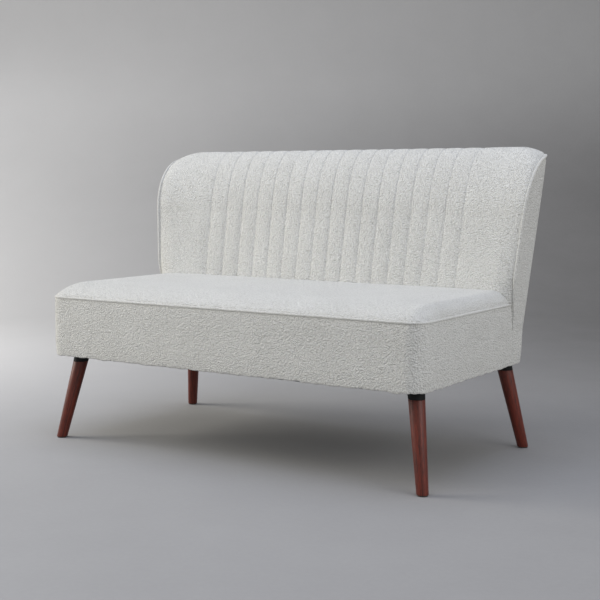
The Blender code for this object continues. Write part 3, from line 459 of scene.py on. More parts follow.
@dataclass(frozen=True)
class Form:
    """Shape that the covers share: the reclined, flared back and the seat in front of it."""

    seat_half: float
    seat_front: float
    seat_bottom: float
    welt_height: float
    back_top: float
    back_rear: float
    cord: float = 0.0037  # radius of the piping
    lean_rate: float = 0.095
    flare_rate: float = 0.092
    flare_rise: float = -0.072
    seam_bend: float = 0.071
    top_tuck: float = 0.003
    tuck_start: float = 0.3  # share of the roll
    back_thickness: float = 0.1435
    face_taper: float = 0.085  # lean of the inside face beyond that of the back
    roll_height: float = 0.180
    crest_setback: float = 0.0293
    seam_drop: float = 0.023
    seam_forward: float = 0.157
    seam_power: float = 2.13  # 2 is an ellipse, more is fuller
    seam_foot_forward: float = 0.105
    rear_corner: float = 0.074
    seat_corner: float = 0.044
    wing_forward: float = 0.044
    wing_width: float = 0.375
    edge_roll: float = 0.055
    hem_drop: float = 0.001  # hem below the band's solid
    welt_lift: float = 0.004  # piping above its solid

    @classmethod
    def from_frame(cls) -> "Form":
        """Reads the driving sizes off the CAD nodes.

        Returns:
            The shared form.
        """
        band_low, band_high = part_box("seat_band")
        welt_low, welt_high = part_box("seat_welt")
        back_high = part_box("inside_back")[1]
        seam_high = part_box("back_welt")[1]
        return cls(
            seat_half=band_high.x,
            seat_front=band_low.y,
            seat_bottom=band_low.z - cls.hem_drop,
            welt_height=(welt_low.z + welt_high.z) / 2 + cls.welt_lift,
            back_top=back_high.z,
            back_rear=seam_high.y - (welt_high.z - welt_low.z) / 2,
        )

    @property
    def seam_top(self) -> float:
        """Height of the rear seam."""
        return self.back_top - self.seam_drop

    @property
    def roll_start(self) -> float:
        """Height at which the back begins to roll over."""
        return self.back_top - self.roll_height

    @property
    def flare_start(self) -> float:
        """Height at which the sides begin to flare."""
        return self.welt_height + self.flare_rise

    def face(self, z: np.ndarray, edge: np.ndarray) -> np.ndarray:
        """Front of the inside back, upright: it tapers up to the roll and comes forward at its sides."""
        rise = np.clip(z, self.flare_start, self.roll_start) - self.flare_start
        return self.back_rear - self.back_thickness + self.face_taper * rise - self.wing(edge)

    @property
    def crest(self) -> float:
        """Highest line of the back, upright."""
        return self.back_rear - self.crest_setback

    @property
    def seam_front(self) -> float:
        """Side seam, upright."""
        return self.back_rear - self.seam_forward

    @property
    def rear_arc(self) -> float:
        """Where the round rear corners begin, upright."""
        return self.back_rear - self.rear_corner

    def lean(self, z: np.ndarray) -> np.ndarray:
        """How far the reclined back stands to the rear at a height."""
        return self.lean_rate * (z - self.seam_top)

    def half(self, z: np.ndarray) -> np.ndarray:
        """Half of the width over the sides at a height."""
        flare = self.flare_rate * np.maximum(0, z - self.flare_start)
        tuck = self.top_tuck * eased((z - self.roll_start) / self.roll_height - self.tuck_start)
        return self.seat_half + flare - tuck

    def seam_y(self, z: np.ndarray) -> np.ndarray:
        """Place of the side seam, from the seat's underside to the start of the roll."""
        bend = self.welt_height + self.seam_bend
        foot = self.back_rear - self.seam_foot_forward + self.lean(self.seat_bottom)
        head = self.seam_front + self.lean(bend)
        low = foot + (head - foot) * (z - self.seat_bottom) / (bend - self.seat_bottom)
        return np.where(z >= bend, self.seam_front + self.lean(z), low)

    def seam_curve(self, angle: np.ndarray, lift: float = 0.0) -> tuple[np.ndarray, np.ndarray]:
        """Upright y and z of the rolled side seam at an angle, lifted off it by a distance."""
        along = self.crest - self.seam_front + lift
        up = self.seam_top - self.roll_start + lift
        power = 2 / self.seam_power
        ahead = np.maximum(np.cos(angle), 0) ** power
        return self.crest - along * ahead, self.roll_start + up * np.sin(angle) ** power

    def seam_angle(self, y: np.ndarray, lift: float = 0.0) -> np.ndarray:
        """Angle on the rolled side seam at which it reaches y, a right angle at most."""
        share = np.clip((self.crest - y) / (self.crest - self.seam_front + lift), 0, 1)
        return np.arccos(share ** (self.seam_power / 2))

    def wing(self, edge: np.ndarray) -> np.ndarray:
        """How far the inside back comes forward, by the distance from its side edge."""
        return self.wing_forward * np.maximum(0, 1 - edge / self.wing_width) ** 2

    def back_face(self, x: np.ndarray, z: np.ndarray) -> np.ndarray:
        """Front of the inside back at a point behind the seat."""
        edge = np.maximum(0, self.half(z) - self.cord - np.abs(x))
        blend = slope(edge / self.edge_roll)
        seam = self.seam_y(z) - self.lean(z)
        return seam + (self.face(z, edge) - seam) * blend + self.lean(z)


def select_only(piece: bpy.types.Object) -> None:
    """Makes one piece the active and only selected one."""
    bpy.ops.object.select_all(action="DESELECT")
    piece.select_set(True)
    bpy.context.view_layer.objects.active = piece


def pick_edges(piece: bpy.types.Object, wanted: Callable[[Vector], bool]) -> None:
    """Enters edit mode with only those edges selected whose ends both pass a test.

    Args:
        piece: The piece.
        wanted: Test of a point's place.
    """
    select_only(piece)
    bpy.ops.object.mode_set(mode="EDIT")
    bpy.ops.mesh.select_mode(type="EDGE")
    bpy.ops.mesh.select_all(action="DESELECT")
    bpy.ops.object.mode_set(mode="OBJECT")
    points = piece.data.vertices
    for edge in piece.data.edges:
        edge.select = all(wanted(points[k].co) for k in edge.vertices)
    bpy.ops.object.mode_set(mode="EDIT")


def grid_piece(name: str, points: np.ndarray) -> bpy.types.Object:
    """Adds a grid and lays it on a surface, with a UV map in metres along the cloth.

    Args:
        name: Name of the piece.
        points: Places of the grid's points, as rows by columns by three.

    Returns:
        The new piece, at the origin.
    """
    rows, columns, _ = points.shape
    bpy.ops.object.select_all(action="DESELECT")
    bpy.ops.mesh.primitive_grid_add(x_subdivisions=columns - 1, y_subdivisions=rows - 1, size=1.0)
    piece = bpy.context.object
    piece.name = name
    mesh = piece.data
    mesh.name = name
    mesh.vertices.foreach_set("co", points.reshape(-1))
    across = np.zeros((rows, columns))
    across[:, 1:] = np.linalg.norm(np.diff(points, axis=1), axis=2).cumsum(axis=1)
    across -= across[:, columns // 2 : columns // 2 + 1]
    along = np.zeros((rows, columns))
    along[1:] = np.linalg.norm(np.diff(points, axis=0), axis=2).cumsum(axis=0)
    places = np.stack((across, along), axis=2).reshape(-1, 2)
    corners = np.empty(len(mesh.loops), dtype=np.int32)
    mesh.loops.foreach_get("vertex_index", corners)
    mesh.uv_layers.active.uv.foreach_set("vector", places[corners].reshape(-1))
    mesh.update()
    bpy.ops.object.shade_smooth()
    return piece


def apply_modifier(piece: bpy.types.Object, kind: str, **settings: object) -> None:
    """Adds a modifier to a piece and applies it.

    Args:
        piece: The piece.
        kind: Modifier type.
        settings: Properties of the modifier.
    """
    select_only(piece)
    modifier = piece.modifiers.new(kind.lower(), kind)
    for key, value in settings.items():
        setattr(modifier, key, value)
    bpy.ops.object.modifier_apply(modifier=modifier.name)


def points_of(piece: bpy.types.Object) -> np.ndarray:
    """Places of a piece's points, as rows of three."""
    places = np.empty(len(piece.data.vertices) * 3, dtype=np.float32)
    piece.data.vertices.foreach_get("co", places)
    return places.reshape(-1, 3).astype(np.float64)


@dataclass(frozen=True)
class Stuffing:
    """A cloth simulation that pads a cover out from where it is sewn."""

    pressure: float
    most: float  # furthest that a point may move
    steps: int = 20
    pin: float = 20.0
    stiffness: float = 12.0
    bending: float = 0.4

    def swell(self, piece: bpy.types.Object, hold: np.ndarray) -> None:
        """Swells a piece and applies the result.

        Args:
            piece: The cover, which starts a little smaller than it ends.
            hold: How firmly each point is held, from 0, free, to 1, sewn down.
        """
        start = points_of(piece)
        group = piece.vertex_groups.new(name="sewn")
        for point in np.flatnonzero(hold > 0):
            group.add([int(point)], float(hold[point]), "REPLACE")
        cloth = piece.modifiers.new("cloth", "CLOTH")
        cloth.settings.vertex_group_mass = group.name
        cloth.settings.pin_stiffness = self.pin
        cloth.settings.use_pressure = True
        cloth.settings.uniform_pressure_force = self.pressure
        cloth.settings.tension_stiffness = self.stiffness
        cloth.settings.compression_stiffness = self.stiffness
        cloth.settings.bending_stiffness = self.bending
        cloth.settings.effector_weights.gravity = 0
        cloth.point_cache.frame_end = self.steps
        scene = bpy.context.scene
        for step in range(1, self.steps + 1):
            scene.frame_set(step)
        select_only(piece)
        bpy.ops.object.modifier_apply(modifier=cloth.name)
        scene.frame_set(1)
        piece.vertex_groups.clear()
        moved = points_of(piece) - start
        length = np.maximum(np.linalg.norm(moved, axis=1, keepdims=True), 1e-9)
        kept = self.most * np.tanh(length / self.most)
        places = start + moved * kept / length
        piece.data.vertices.foreach_set("co", places.astype(np.float32).reshape(-1))
        piece.data.update()
        most, left = length.max() * 1000, kept.max() * 1000
        LOG.info("%s swelled by %.1f mm, kept %.1f mm", piece.name, most, left)


@dataclass
class Seat:
    """The crowned seat cushion, its band and its piping."""

    form: Form
    wardrobe: Wardrobe
    edge_height: float = 0.0018
    crown: float = 0.0352
    dome: float = -0.0030
    roll_width: float = 0.105
    side_roll: float = 0.042
    round_share: float = 0.55
    pressure: float = 4.0
    swell: float = 0.006
    shoulder: float = 0.030
    swell_width: float = 0.150
    hold_width: float = 0.100
    column_step: float = 0.008
    row_count: int = 70
    edge_gather: float = 0.35  # how closely columns crowd to the sides
    front_gather: float = 0.4  # how closely rows crowd to the front
    cushion_nest: float = 0.5  # of the piping's radius, as the nests below
    piping_nest: float = 0.88
    crease: float = 0.42
    rear_tuck: float = 0.004
    skirt: float = 0.036
    band_tuck: float = 0.004
    band_rows: int = 14
    foot_share: float = 0.3  # of the band's height, over which its foot draws in
    head_share: float = 0.8  # of the band's height, from which its head draws in
    head_gap: float = 0.001
    least_corner: float = 0.002
    hem: float = 0.024
    hem_round: float = 0.004
    flat_columns: int = 90
    side_columns: int = 56
    hem_rise: float = 0.002
    hem_start: float = 1.6  # of the hem's rounding
    hem_tuft: float = 0.0016
    tuft_reach: float = 0.014
    band_wall: float = 0.0025
    girth_row: int = 12
    seam_gap: float = 0.0002

    def outline_front(self, x: np.ndarray, inset: float) -> np.ndarray:
        """Front of the seat at a place across it, with its round corners."""
        radius = self.form.seat_corner - inset
        past = np.clip(np.abs(x) - (self.form.seat_half - self.form.seat_corner), 0, radius)
        return self.form.seat_front + self.form.seat_corner - np.sqrt(radius**2 - past**2)

    def edge_distance(self, x: np.ndarray, y: np.ndarray, inset: float) -> np.ndarray:
        """Distance in from the seat's outline, which is itself set in."""
        radius = self.form.seat_corner - inset
        across = np.abs(x) - (self.form.seat_half - self.form.seat_corner)
        ahead = self.form.seat_front + self.form.seat_corner - y
        round_part = radius - np.hypot(np.maximum(across, 0), np.maximum(ahead, 0))
        return np.where((across > 0) & (ahead > 0), round_part, radius - np.maximum(across, ahead))

    def top_height(self, x: np.ndarray, y: np.ndarray, inset: float) -> np.ndarray:
        """Height of the crowned top."""
        rise = self.crown + self.dome * (1 - (x / self.form.seat_half) ** 2)
        ahead = (y - self.outline_front(x, inset)) / self.roll_width
        across = (self.form.seat_half - inset - np.abs(x)) / self.side_roll
        for share in (ahead, across):
            rise = rise * (self.round_share * quarter(share) + (1 - self.round_share) * slope(share))
        return self.form.welt_height + self.edge_height + rise

    def build_cushion(self) -> bpy.types.Object:
        """Models the padded cushion: a crowned top over a tucked-in skirt.

        Returns:
            The cushion.
        """
        form = self.form
        inset = form.cord * self.cushion_nest
        half = form.seat_half - inset
        count = int(half / self.column_step) * 2 + 1
        share = np.linspace(-1, 1, count)
        bowed = np.sin(share * math.pi / 2)
        x = half * bowed * self.edge_gather + half * share * (1 - self.edge_gather)
        rows = np.linspace(0, 1, self.row_count)
        bowed = 1 - np.cos(rows * math.pi / 2)
        rows = rows * (1 - self.front_gather) + self.front_gather * bowed
        across = np.repeat(x[None, :], self.row_count, axis=0)
        front = self.outline_front(across, inset)
        level = np.full_like(across, form.welt_height + self.crown)
        rear = form.back_face(across, level) + self.rear_tuck
        y = front + (rear - front) * rows[:, None]
        z = self.top_height(across, y, inset)
        inward = np.minimum(self.edge_distance(across, y, inset), rear - y)
        z -= self.swell * eased((inward - self.shoulder) / self.swell_width)
        cushion = grid_piece("seat_cushion", np.stack((across, y, z), axis=2))
        hold = np.clip(1 - inward / self.hold_width, 0, 1)
        Stuffing(self.pressure, self.swell).swell(cushion, hold.reshape(-1))
        select_only(cushion)
        bpy.ops.object.mode_set(mode="EDIT")
        bpy.ops.mesh.select_all(action="SELECT")
        bpy.ops.mesh.region_to_loop()
        bpy.ops.mesh.extrude_region_move(TRANSFORM_OT_translate={"value": (0, 0, -self.skirt)})
        bpy.ops.mesh.edge_face_add()
        bpy.ops.object.mode_set(mode="OBJECT")
        self.wardrobe.dress(cushion, Slot.BOUCLE, "seat_top_cover", "seat_foam")
        return cushion

    def band_section(self) -> list[tuple[float, float]]:
        """Section of the band from its hem under the frame to the piping.

        Returns:
            Inset and height of each point.
        """
        bottom = self.form.seat_bottom
        top = self.form.welt_height - self.head_gap
        inner = self.band_tuck * 0.5 + self.hem_round * self.hem_start
        section = [(self.hem, bottom + self.hem_rise), (inner, bottom + self.hem_rise)]
        for angle in np.radians(np.linspace(0, 90, 7)):
            inset = self.band_tuck * 0.5 + self.hem_round * (1 - math.sin(angle))
            section.append((inset, bottom + self.hem_round * (1 - math.cos(angle))))
        for share in np.linspace(0.1, 1, self.band_rows):
            low = max(0.0, 1 - share / self.foot_share)
            high = max(0.0, (share - self.head_share) / (1 - self.head_share))
            inset = self.band_tuck * 0.5 * low**2 + self.form.cord * self.crease * high**2
            section.append((inset, bottom + self.hem_round + (top - bottom - self.hem_round) * share))
        return section

    def plan(self, inset: float, end: float) -> np.ndarray:
        """Plan of the seat's front and sides at an inset, from the left end to the right end.

        Args:
            inset: Distance in from the outline.
            end: Place of both ends along y.

        Returns:
            Points of the plan, as rows of two.
        """
        form = self.form
        half = form.seat_half - inset
        radius = max(form.seat_corner - inset, self.least_corner)
        angles = np.radians(np.linspace(0, 90, 17))
        arc_x = half - radius + radius * np.sin(angles)
        arc_y = form.seat_front + inset + radius * (1 - np.cos(angles))
        flat = np.linspace(0, half - radius, self.flat_columns, endpoint=False)
        side = arc_y[-1] + (end - arc_y[-1]) * np.linspace(0, 1, self.side_columns + 1)[1:]
        x = np.concatenate((flat, arc_x, np.full(self.side_columns, half)))
        y = np.concatenate((np.full(self.flat_columns, form.seat_front + inset), arc_y, side))
        right = np.stack((x, y), axis=1)
        left = right[:0:-1] * (-1, 1)
        return np.concatenate((left, right))

    def build_band(self) -> bpy.types.Object:
        """Models the band round the front and the sides.

        Returns:
            The band.
        """
        rows = []
        bottom = self.form.seat_bottom
        for inset, z in self.band_section():
            plan = self.plan(inset, float(self.form.seam_y(z)) - self.seam_gap)
            rows.append(np.column_stack((plan, np.full(len(plan), z))))
        points = np.array(rows)
        tufts = np.random.default_rng(7).normal(0, self.hem_tuft, points.shape[1] + 2)
        tufts = (tufts[:-2] + 2 * tufts[1:-1] + tufts[2:]) / 4
        reach = np.maximum(0, 1 - (points[:, :, 2] - bottom) / self.tuft_reach)
        reach[:2] = 0  # the hem under the frame lies flat
        points[:, :, 2] += tufts * reach
        band = grid_piece("seat_band_cover", points)
        apply_modifier(band, "SOLIDIFY", thickness=self.band_wall, offset=-1)
        bpy.ops.object.shade_smooth_by_angle(angle=COVER_ANGLE)
        self.wardrobe.dress(band, Slot.BOUCLE, "seat_band")
        return band

    def build_piping(self) -> bpy.types.Object:
        """Models the piping between the band and the cushion.

        Returns:
            The piping.
        """
        end = float(self.form.seam_y(self.form.welt_height)) - self.seam_gap
        plan = self.plan(self.form.cord * self.piping_nest, end)
        path = np.column_stack((plan, np.full(len(plan), self.form.welt_height)))
        piping = cord_piece("seat_piping", path, self.form.cord, self.wardrobe.piping)
        self.wardrobe.dress(piping, Slot.BOUCLE, "seat_welt")
        return piping

    def build(self) -> None:
        """Builds the seat's pieces."""
        self.build_cushion()
        self.build_band()
        self.build_piping()


def cord_piece(
    name: str, path: np.ndarray, radius: float, material: bpy.types.Material
) -> bpy.types.Object:
    """Models piping: a round cord along a path, turned from a curve into a mesh.

    Args:
        name: Name of the piece.
        path: Points of the cord's middle line.
        radius: Radius of the covered cord.
        material: Cloth of the piping.

    Returns:
        The piping.
    """
    curve = bpy.data.curves.new(name, "CURVE")
    curve.dimensions = "3D"
    curve.bevel_depth = radius
    curve.bevel_resolution = 4
    curve.use_fill_caps = True
    line = curve.splines.new("POLY")
    line.points.add(len(path) - 1)
    line.points.foreach_set("co", np.column_stack((path, np.ones(len(path)))).reshape(-1))
    piece = bpy.data.objects.new(name, curve)
    bpy.context.scene.collection.objects.link(piece)
    select_only(piece)
    bpy.ops.object.convert(target="MESH")
    piece.data.materials.clear()
    piece.data.materials.append(material)
    bpy.ops.object.shade_smooth()
    return piece


@dataclass
class Back:
    """The channelled inside back, the plain outside back and the piping between them."""

    form: Form
    wardrobe: Wardrobe
    channel_count: int = 16
    channel_pitch: float = 0.0496
    channel_fan: float = 0.076
    channel_widening: float = 0.035
    channel_columns: tuple[float, ...] = (0, 0.022, 0.05, 0.09, 0.15, 0.23, 0.33, 0.44)
    end_columns: int = 34
    end_gather: float = 0.35
    end_power: float = 1.6
    end_spare: float = 0.02
    face_rows: int = 52
    roll_rows: int = 46
    crest_rows: int = 10
    pitch_share: float = 0.28  # channel pitch by the width of an end panel
    panel_puff: float = 4.0
    groove: float = 0.0015
    groove_share: float = 0.15
    puff: float = 0.0013
    pressure: float = 3.0
    swell: float = 0.0016
    nest: float = 0.75
    piping_nest: float = 0.4
    foot: float = 0.362
    tuck: float = 0.009
    tuck_start: float = 0.006
    tuck_run: float = 0.010
    edge_lift: float = 0.0005
    crest_edge: float = 0.025
    corner_roll_share: float = 0.8
    wall: float = 0.005
    cover_wall: float = 0.0025
    seam_gap: float = 0.0003
    nest_run: float = 0.012
    hem: float = 0.011
    hem_round: float = 0.004
    hem_rise: float = 0.002
    hem_tuck: float = 0.002
    hem_reach: float = 0.04
    turn_in: float = 0.003
    cover_columns_by_part: tuple[int, int, int] = (22, 19, 45)  # side, corner and rear
    cover_rows_by_part: tuple[int, int, int, int] = (6, 14, 16, 13)  # hem, foot, flare and roll
    cord_steps: tuple[int, int, int] = (20, 26, 17)  # side, roll and corner
    girth_row: int = 20

    def quilt_rows(self) -> list[tuple[str, float]]:
        """Rows of the inside back from its foot over the roll: zone and height or angle."""
        rows = [("low", z) for z in np.linspace(self.foot, self.form.roll_start, self.face_rows)]
        rows += [("roll", a) for a in np.radians(np.linspace(0, 90, self.roll_rows))[1:]]
        rows += [("rear", a) for a in np.radians(np.linspace(0, 90, self.crest_rows))[1:]]
        return rows

    def quilt_columns(self) -> tuple[np.ndarray, np.ndarray, np.ndarray]:
        """Columns of the inside back.

        Returns:
            For each column its place among the channels, its share of the end panel from the side
            edge, and its depth share of a sewn line. The place or the share is not a number.
        """
        outer = self.channel_count / 2
        half = np.array(self.channel_columns)
        within = np.concatenate((half, 1 - half[:0:-1]))
        inner = np.concatenate([k - outer + within for k in range(self.channel_count)] + [[outer]])
        fraction = np.abs(inner - np.round(inner)) * 2
        end = np.linspace(0, 1, self.end_columns, endpoint=False)
        bowed = 1 - np.cos(end * math.pi / 2)
        end = self.end_gather * bowed + (1 - self.end_gather) * end**self.end_power
        close = 1 - half[:0:-1] * self.pitch_share
        end = np.concatenate((end[end < close[0] - self.end_spare], close))
        gap = np.full(len(end), np.nan)
        place = np.concatenate((gap, inner, gap))
        share = np.concatenate((end, np.full(len(inner), np.nan), end[::-1]))
        near = (1 - end) * self.panel_puff
        sewn = np.concatenate((near, fraction, near[::-1]))
        return place, share, sewn

    def quilt_points(self) -> tuple[np.ndarray, np.ndarray]:
        """Places of the inside back's points.

        Returns:
            The points, as rows by columns by three, and the columns that are sewn.
        """
        form = self.form
        place, share, sewn = self.quilt_columns()
        drop = self.groove * np.maximum(0, 1 - sewn / self.groove_share) ** 2
        drop += self.puff * np.maximum(0, 1 - np.minimum(sewn, 1)) ** 2
        side = np.where(np.arange(len(place)) < len(place) / 2, -1.0, 1.0)
        outer = self.channel_count / 2
        inner = np.nan_to_num(place)
        points = []
        for zone, value in self.quilt_rows():
            flat_seam = self.row_seam(zone, value, np.array([form.rear_arc]), 0.0)
            height = float(flat_seam[1][0])
            above = height - form.welt_height + self.tuck_start
            narrow = self.tuck * (1 - eased(above / self.tuck_run))
            half = float(form.half(height)) - form.cord * self.nest - narrow
            fan = self.channel_pitch * (1 + self.channel_fan * max(0, height - form.welt_height))
            line = outer * (1 + self.channel_widening) * fan
            x = inner * (1 + self.channel_widening * (inner / outer) ** 2) * fan
            x = np.where(np.isnan(share), x, side * (half - np.nan_to_num(share) * (half - line)))
            points.append(self.row_points(zone, value, x, half, height, drop))
        return np.array(points), np.flatnonzero(sewn == 0)

    def row_seam(self, zone: str, value: float, rear: np.ndarray, lift: float) -> tuple:
        """Where a row of the inside back meets its seam, for columns that end at rear."""
        form = self.form
        if zone == "low":
            seam = float(form.seam_y(value) - form.lean(value)) - lift
            return np.full_like(rear, seam), np.full_like(rear, value)
        last = form.seam_angle(rear, lift)
        squeezed = np.maximum(0, form.crest - rear) / (form.crest - form.rear_arc)
        on_roll = 1 - (1 - self.corner_roll_share) * squeezed
        share = value / math.radians(90)
        if zone == "roll":
            return form.seam_curve(last * on_roll * share, lift)
        y, z = form.seam_curve(last * (on_roll + (1 - on_roll) * share), lift)
        return y + np.maximum(0, rear - form.crest) * share, z

    def row_points(
        self, zone: str, value: float, x: np.ndarray, half: float, height: float, drop: np.ndarray
    ) -> np.ndarray:
        """Places of one row of the inside back.

        Args:
            zone: Part of the profile: low, roll or rear.
            value: Height of the row, or its angle.
            x: Places of the columns.
            half: Half width of the row.
            height: Height of the row's seam.
            drop: Depth of the sewing at each column.

        Returns:
            The row's points, as rows of three.
        """
        form = self.form
        radius = form.rear_corner - form.cord
        past = np.clip(np.abs(x) - (half - radius), 0, radius)
        rear = form.rear_arc + np.sqrt(radius**2 - past**2)
        crest = rear - form.crest_setback
        face = form.face(height, float(form.half(height)) - form.cord - np.abs(x)) + drop
        top = form.back_top - drop
        if zone == "low":
            y, z = face, np.full_like(x, value)
        elif zone == "roll":
            y = crest - (crest - face) * math.cos(value)
            z = form.roll_start + (top - form.roll_start) * math.sin(value)
        else:
            end = form.seam_top + self.edge_lift - drop * 0.5
            y = crest + (rear - crest) * math.sin(value)
            z = top - (top - end) * (1 - math.cos(value))
        seam_y, seam_z = self.row_seam(zone, value, rear, self.edge_lift)
        turned = 0.0 if zone == "low" else 1.0 if zone == "rear" else math.sin(value) ** 2
        blend = slope((half - np.abs(x)) / (form.edge_roll + self.crest_edge * turned))
        y = seam_y + (y - seam_y) * blend
        z = seam_z + (z - seam_z) * blend
        return np.column_stack((x, y + form.lean(z), z))

    def build_quilt(self) -> bpy.types.Object:
        """Models the padded, channelled inside back.

        Returns:
            The inside back.
        """
        points, sewn = self.quilt_points()
        quilt = grid_piece("inside_back_quilt", points)
        rows, columns, _ = points.shape
        hold = np.zeros((rows, columns))
        hold[(0, -1), :] = 1
        hold[:, (0, -1)] = 1
        hold[:, sewn] = 1
        Stuffing(self.pressure, self.swell).swell(quilt, hold.reshape(-1))
        apply_modifier(quilt, "SOLIDIFY", thickness=self.wall, offset=-1)
        self.wardrobe.dress(quilt, Slot.BOUCLE, "inside_back", "back_foam")
        return quilt

    def cover_columns(self) -> list[tuple[str, float]]:
        """Columns round the right half of the outside back, from the edge turned in at its seam."""
        form = self.form
        last = float(form.seam_angle(form.rear_arc))
        on_side, on_corner, on_rear = self.cover_columns_by_part
        sides = [("side", a) for a in np.linspace(0, last, on_side, endpoint=False)]
        corner = [("arc", a) for a in np.radians(np.linspace(0, 90, on_corner))]
        rear = [("rear", share) for share in np.linspace(0, 1, on_rear)[1:]]
        return [("turn", 0.0)] + sides + corner + rear

    def cover_plan(self, column: tuple[str, float], z: float, inset: float) -> tuple[float, float]:
        """Plan place of a column of the outside back at a height.

        Args:
            column: Kind of the column, and its angle or share.
            z: Height.
            inset: Distance in from the outside.

        Returns:
            The place across, and the place along y in the upright back.
        """
        form = self.form
        kind, value = column
        wide = float(form.half(z))
        radius = form.rear_corner - inset
        if kind == "turn":
            low = 1 - float(eased((z - form.welt_height - form.cord) / self.nest_run))
            depth = (wide - form.seat_half + self.turn_in) * low + self.seam_gap
            across, start = self.cover_plan(("side", 0.0), z, inset)
            return across - depth, start
        if kind == "side":
            roll_y = float(form.seam_curve(value)[0])
            share = (roll_y - form.seam_front) / (form.rear_arc - form.seam_front)
            start = float(form.seam_y(z) - form.lean(z)) + self.seam_gap
            return wide - inset, start + (form.rear_arc - start) * share
        if kind == "arc":
            centre = wide - form.rear_corner
            return centre + radius * math.cos(value), form.rear_arc + radius * math.sin(value)
        return (wide - form.rear_corner) * (1 - value), form.back_rear - inset

    def cover_top(self, column: tuple[str, float]) -> float:
        """Height at which a column of the outside back meets the seam."""
        y = self.cover_plan(column, self.form.roll_start, 0.0)[1] - self.seam_gap
        return float(self.form.seam_curve(self.form.seam_angle(y))[1]) - self.seam_gap

    def cover_inset(self, column: tuple[str, float], z: float) -> float:
        """How far the outside back is drawn in under its piping."""
        form = self.form
        y = self.cover_plan(column, z, 0.0)[1]
        behind = y + form.lean(z) - float(form.seam_y(z)) if z >= form.welt_height else 1.0
        below = self.cover_top(column) - z
        return form.cord * max(0.0, 1 - min(behind, below) / self.nest_run)

    def cover_levels(self, column: tuple[str, float]) -> list[tuple[float, float]]:
        """Section of the outside back at a column.

        Args:
            column: Kind of the column, and its angle or share.

        Returns:
            Inset and height of each point, from the hem to the seam.
        """
        bottom = self.form.seat_bottom
        in_hem, in_foot, in_flare, in_roll = self.cover_rows_by_part
        levels = [(self.hem + self.hem_round, bottom + self.hem_rise)]
        for angle in np.radians(np.linspace(0, 90, in_hem)):
            inset = self.hem_tuck + self.hem_round * (1 - math.sin(angle))
            levels.append((inset, bottom + self.hem_round * (1 - math.cos(angle))))
        start = bottom + self.hem_round
        for z in np.linspace(start, self.form.flare_start, in_foot)[1:]:
            low = max(0.0, 1 - (z - start) / self.hem_reach)
            levels.append((self.hem_tuck * low**2 + self.cover_inset(column, z), z))
        straight = self.form.roll_start - 4 * self.seam_gap
        for z in np.linspace(self.form.flare_start, straight, in_flare)[1:]:
            levels.append((self.cover_inset(column, z), z))
        top = self.cover_top(column)
        for share in np.sin(np.linspace(0, math.pi / 2, in_roll))[1:]:
            z = straight + (top - straight) * share
            levels.append((self.cover_inset(column, z), z))
        return levels

    def build_cover(self) -> bpy.types.Object:
        """Models the plain cover of the sides, the round corners and the rear.

        Returns:
            The outside back.
        """
        right = []
        for column in self.cover_columns():
            line = []
            for inset, z in self.cover_levels(column):
                x, y = self.cover_plan(column, z, inset)
                line.append((x, y + float(self.form.lean(z)), z))
            right.append(line)
        right = np.array(right)
        left = right[-2::-1] * (-1, 1, 1)
        points = np.concatenate((right, left)).transpose(1, 0, 2)
        cover = grid_piece("outside_back_cover", points)
        apply_modifier(cover, "SOLIDIFY", thickness=self.cover_wall, offset=-1)
        bpy.ops.object.shade_smooth_by_angle(angle=COVER_ANGLE)
        self.wardrobe.dress(cover, Slot.BOUCLE, "outside_back")
        return cover

    def build_piping(self) -> bpy.types.Object:
        """Models the piping along the side seams and the rear seam.

        Returns:
            The piping.
        """
        form = self.form
        on_side, on_roll, on_corner = self.cord_steps
        heights = np.linspace(form.welt_height + 2 * form.cord, form.roll_start, on_side)
        x = [form.half(heights)]
        y = [form.seam_y(heights)]
        z = [heights]
        last = float(form.seam_angle(form.rear_arc))
        roll_y, roll_z = form.seam_curve(np.linspace(0, last, on_roll)[1:])
        x.append(form.half(roll_z))
        y.append(roll_y + form.lean(roll_z))
        z.append(roll_z)
        angles = np.radians(np.linspace(0, 90, on_corner))[1:]
        arc_y = form.rear_arc + form.rear_corner * np.sin(angles)
        arc_z = form.seam_curve(form.seam_angle(arc_y))[1]
        x.append(form.half(arc_z) - form.rear_corner * (1 - np.cos(angles)))
        y.append(arc_y + form.lean(arc_z))
        z.append(arc_z)
        right = np.column_stack([np.concatenate(part) for part in (x, y, z)])
        right -= (form.cord * self.piping_nest, form.cord * self.piping_nest, 0)
        path = np.concatenate((right, right[::-1] * (-1, 1, 1)))
        piping = cord_piece("back_piping", path, form.cord, self.wardrobe.piping)
        self.wardrobe.dress(piping, Slot.BOUCLE, "back_welt")
        return piping

    def build(self) -> None:
        """Builds the back's pieces."""
        self.build_quilt()
        self.build_cover()
        self.build_piping()


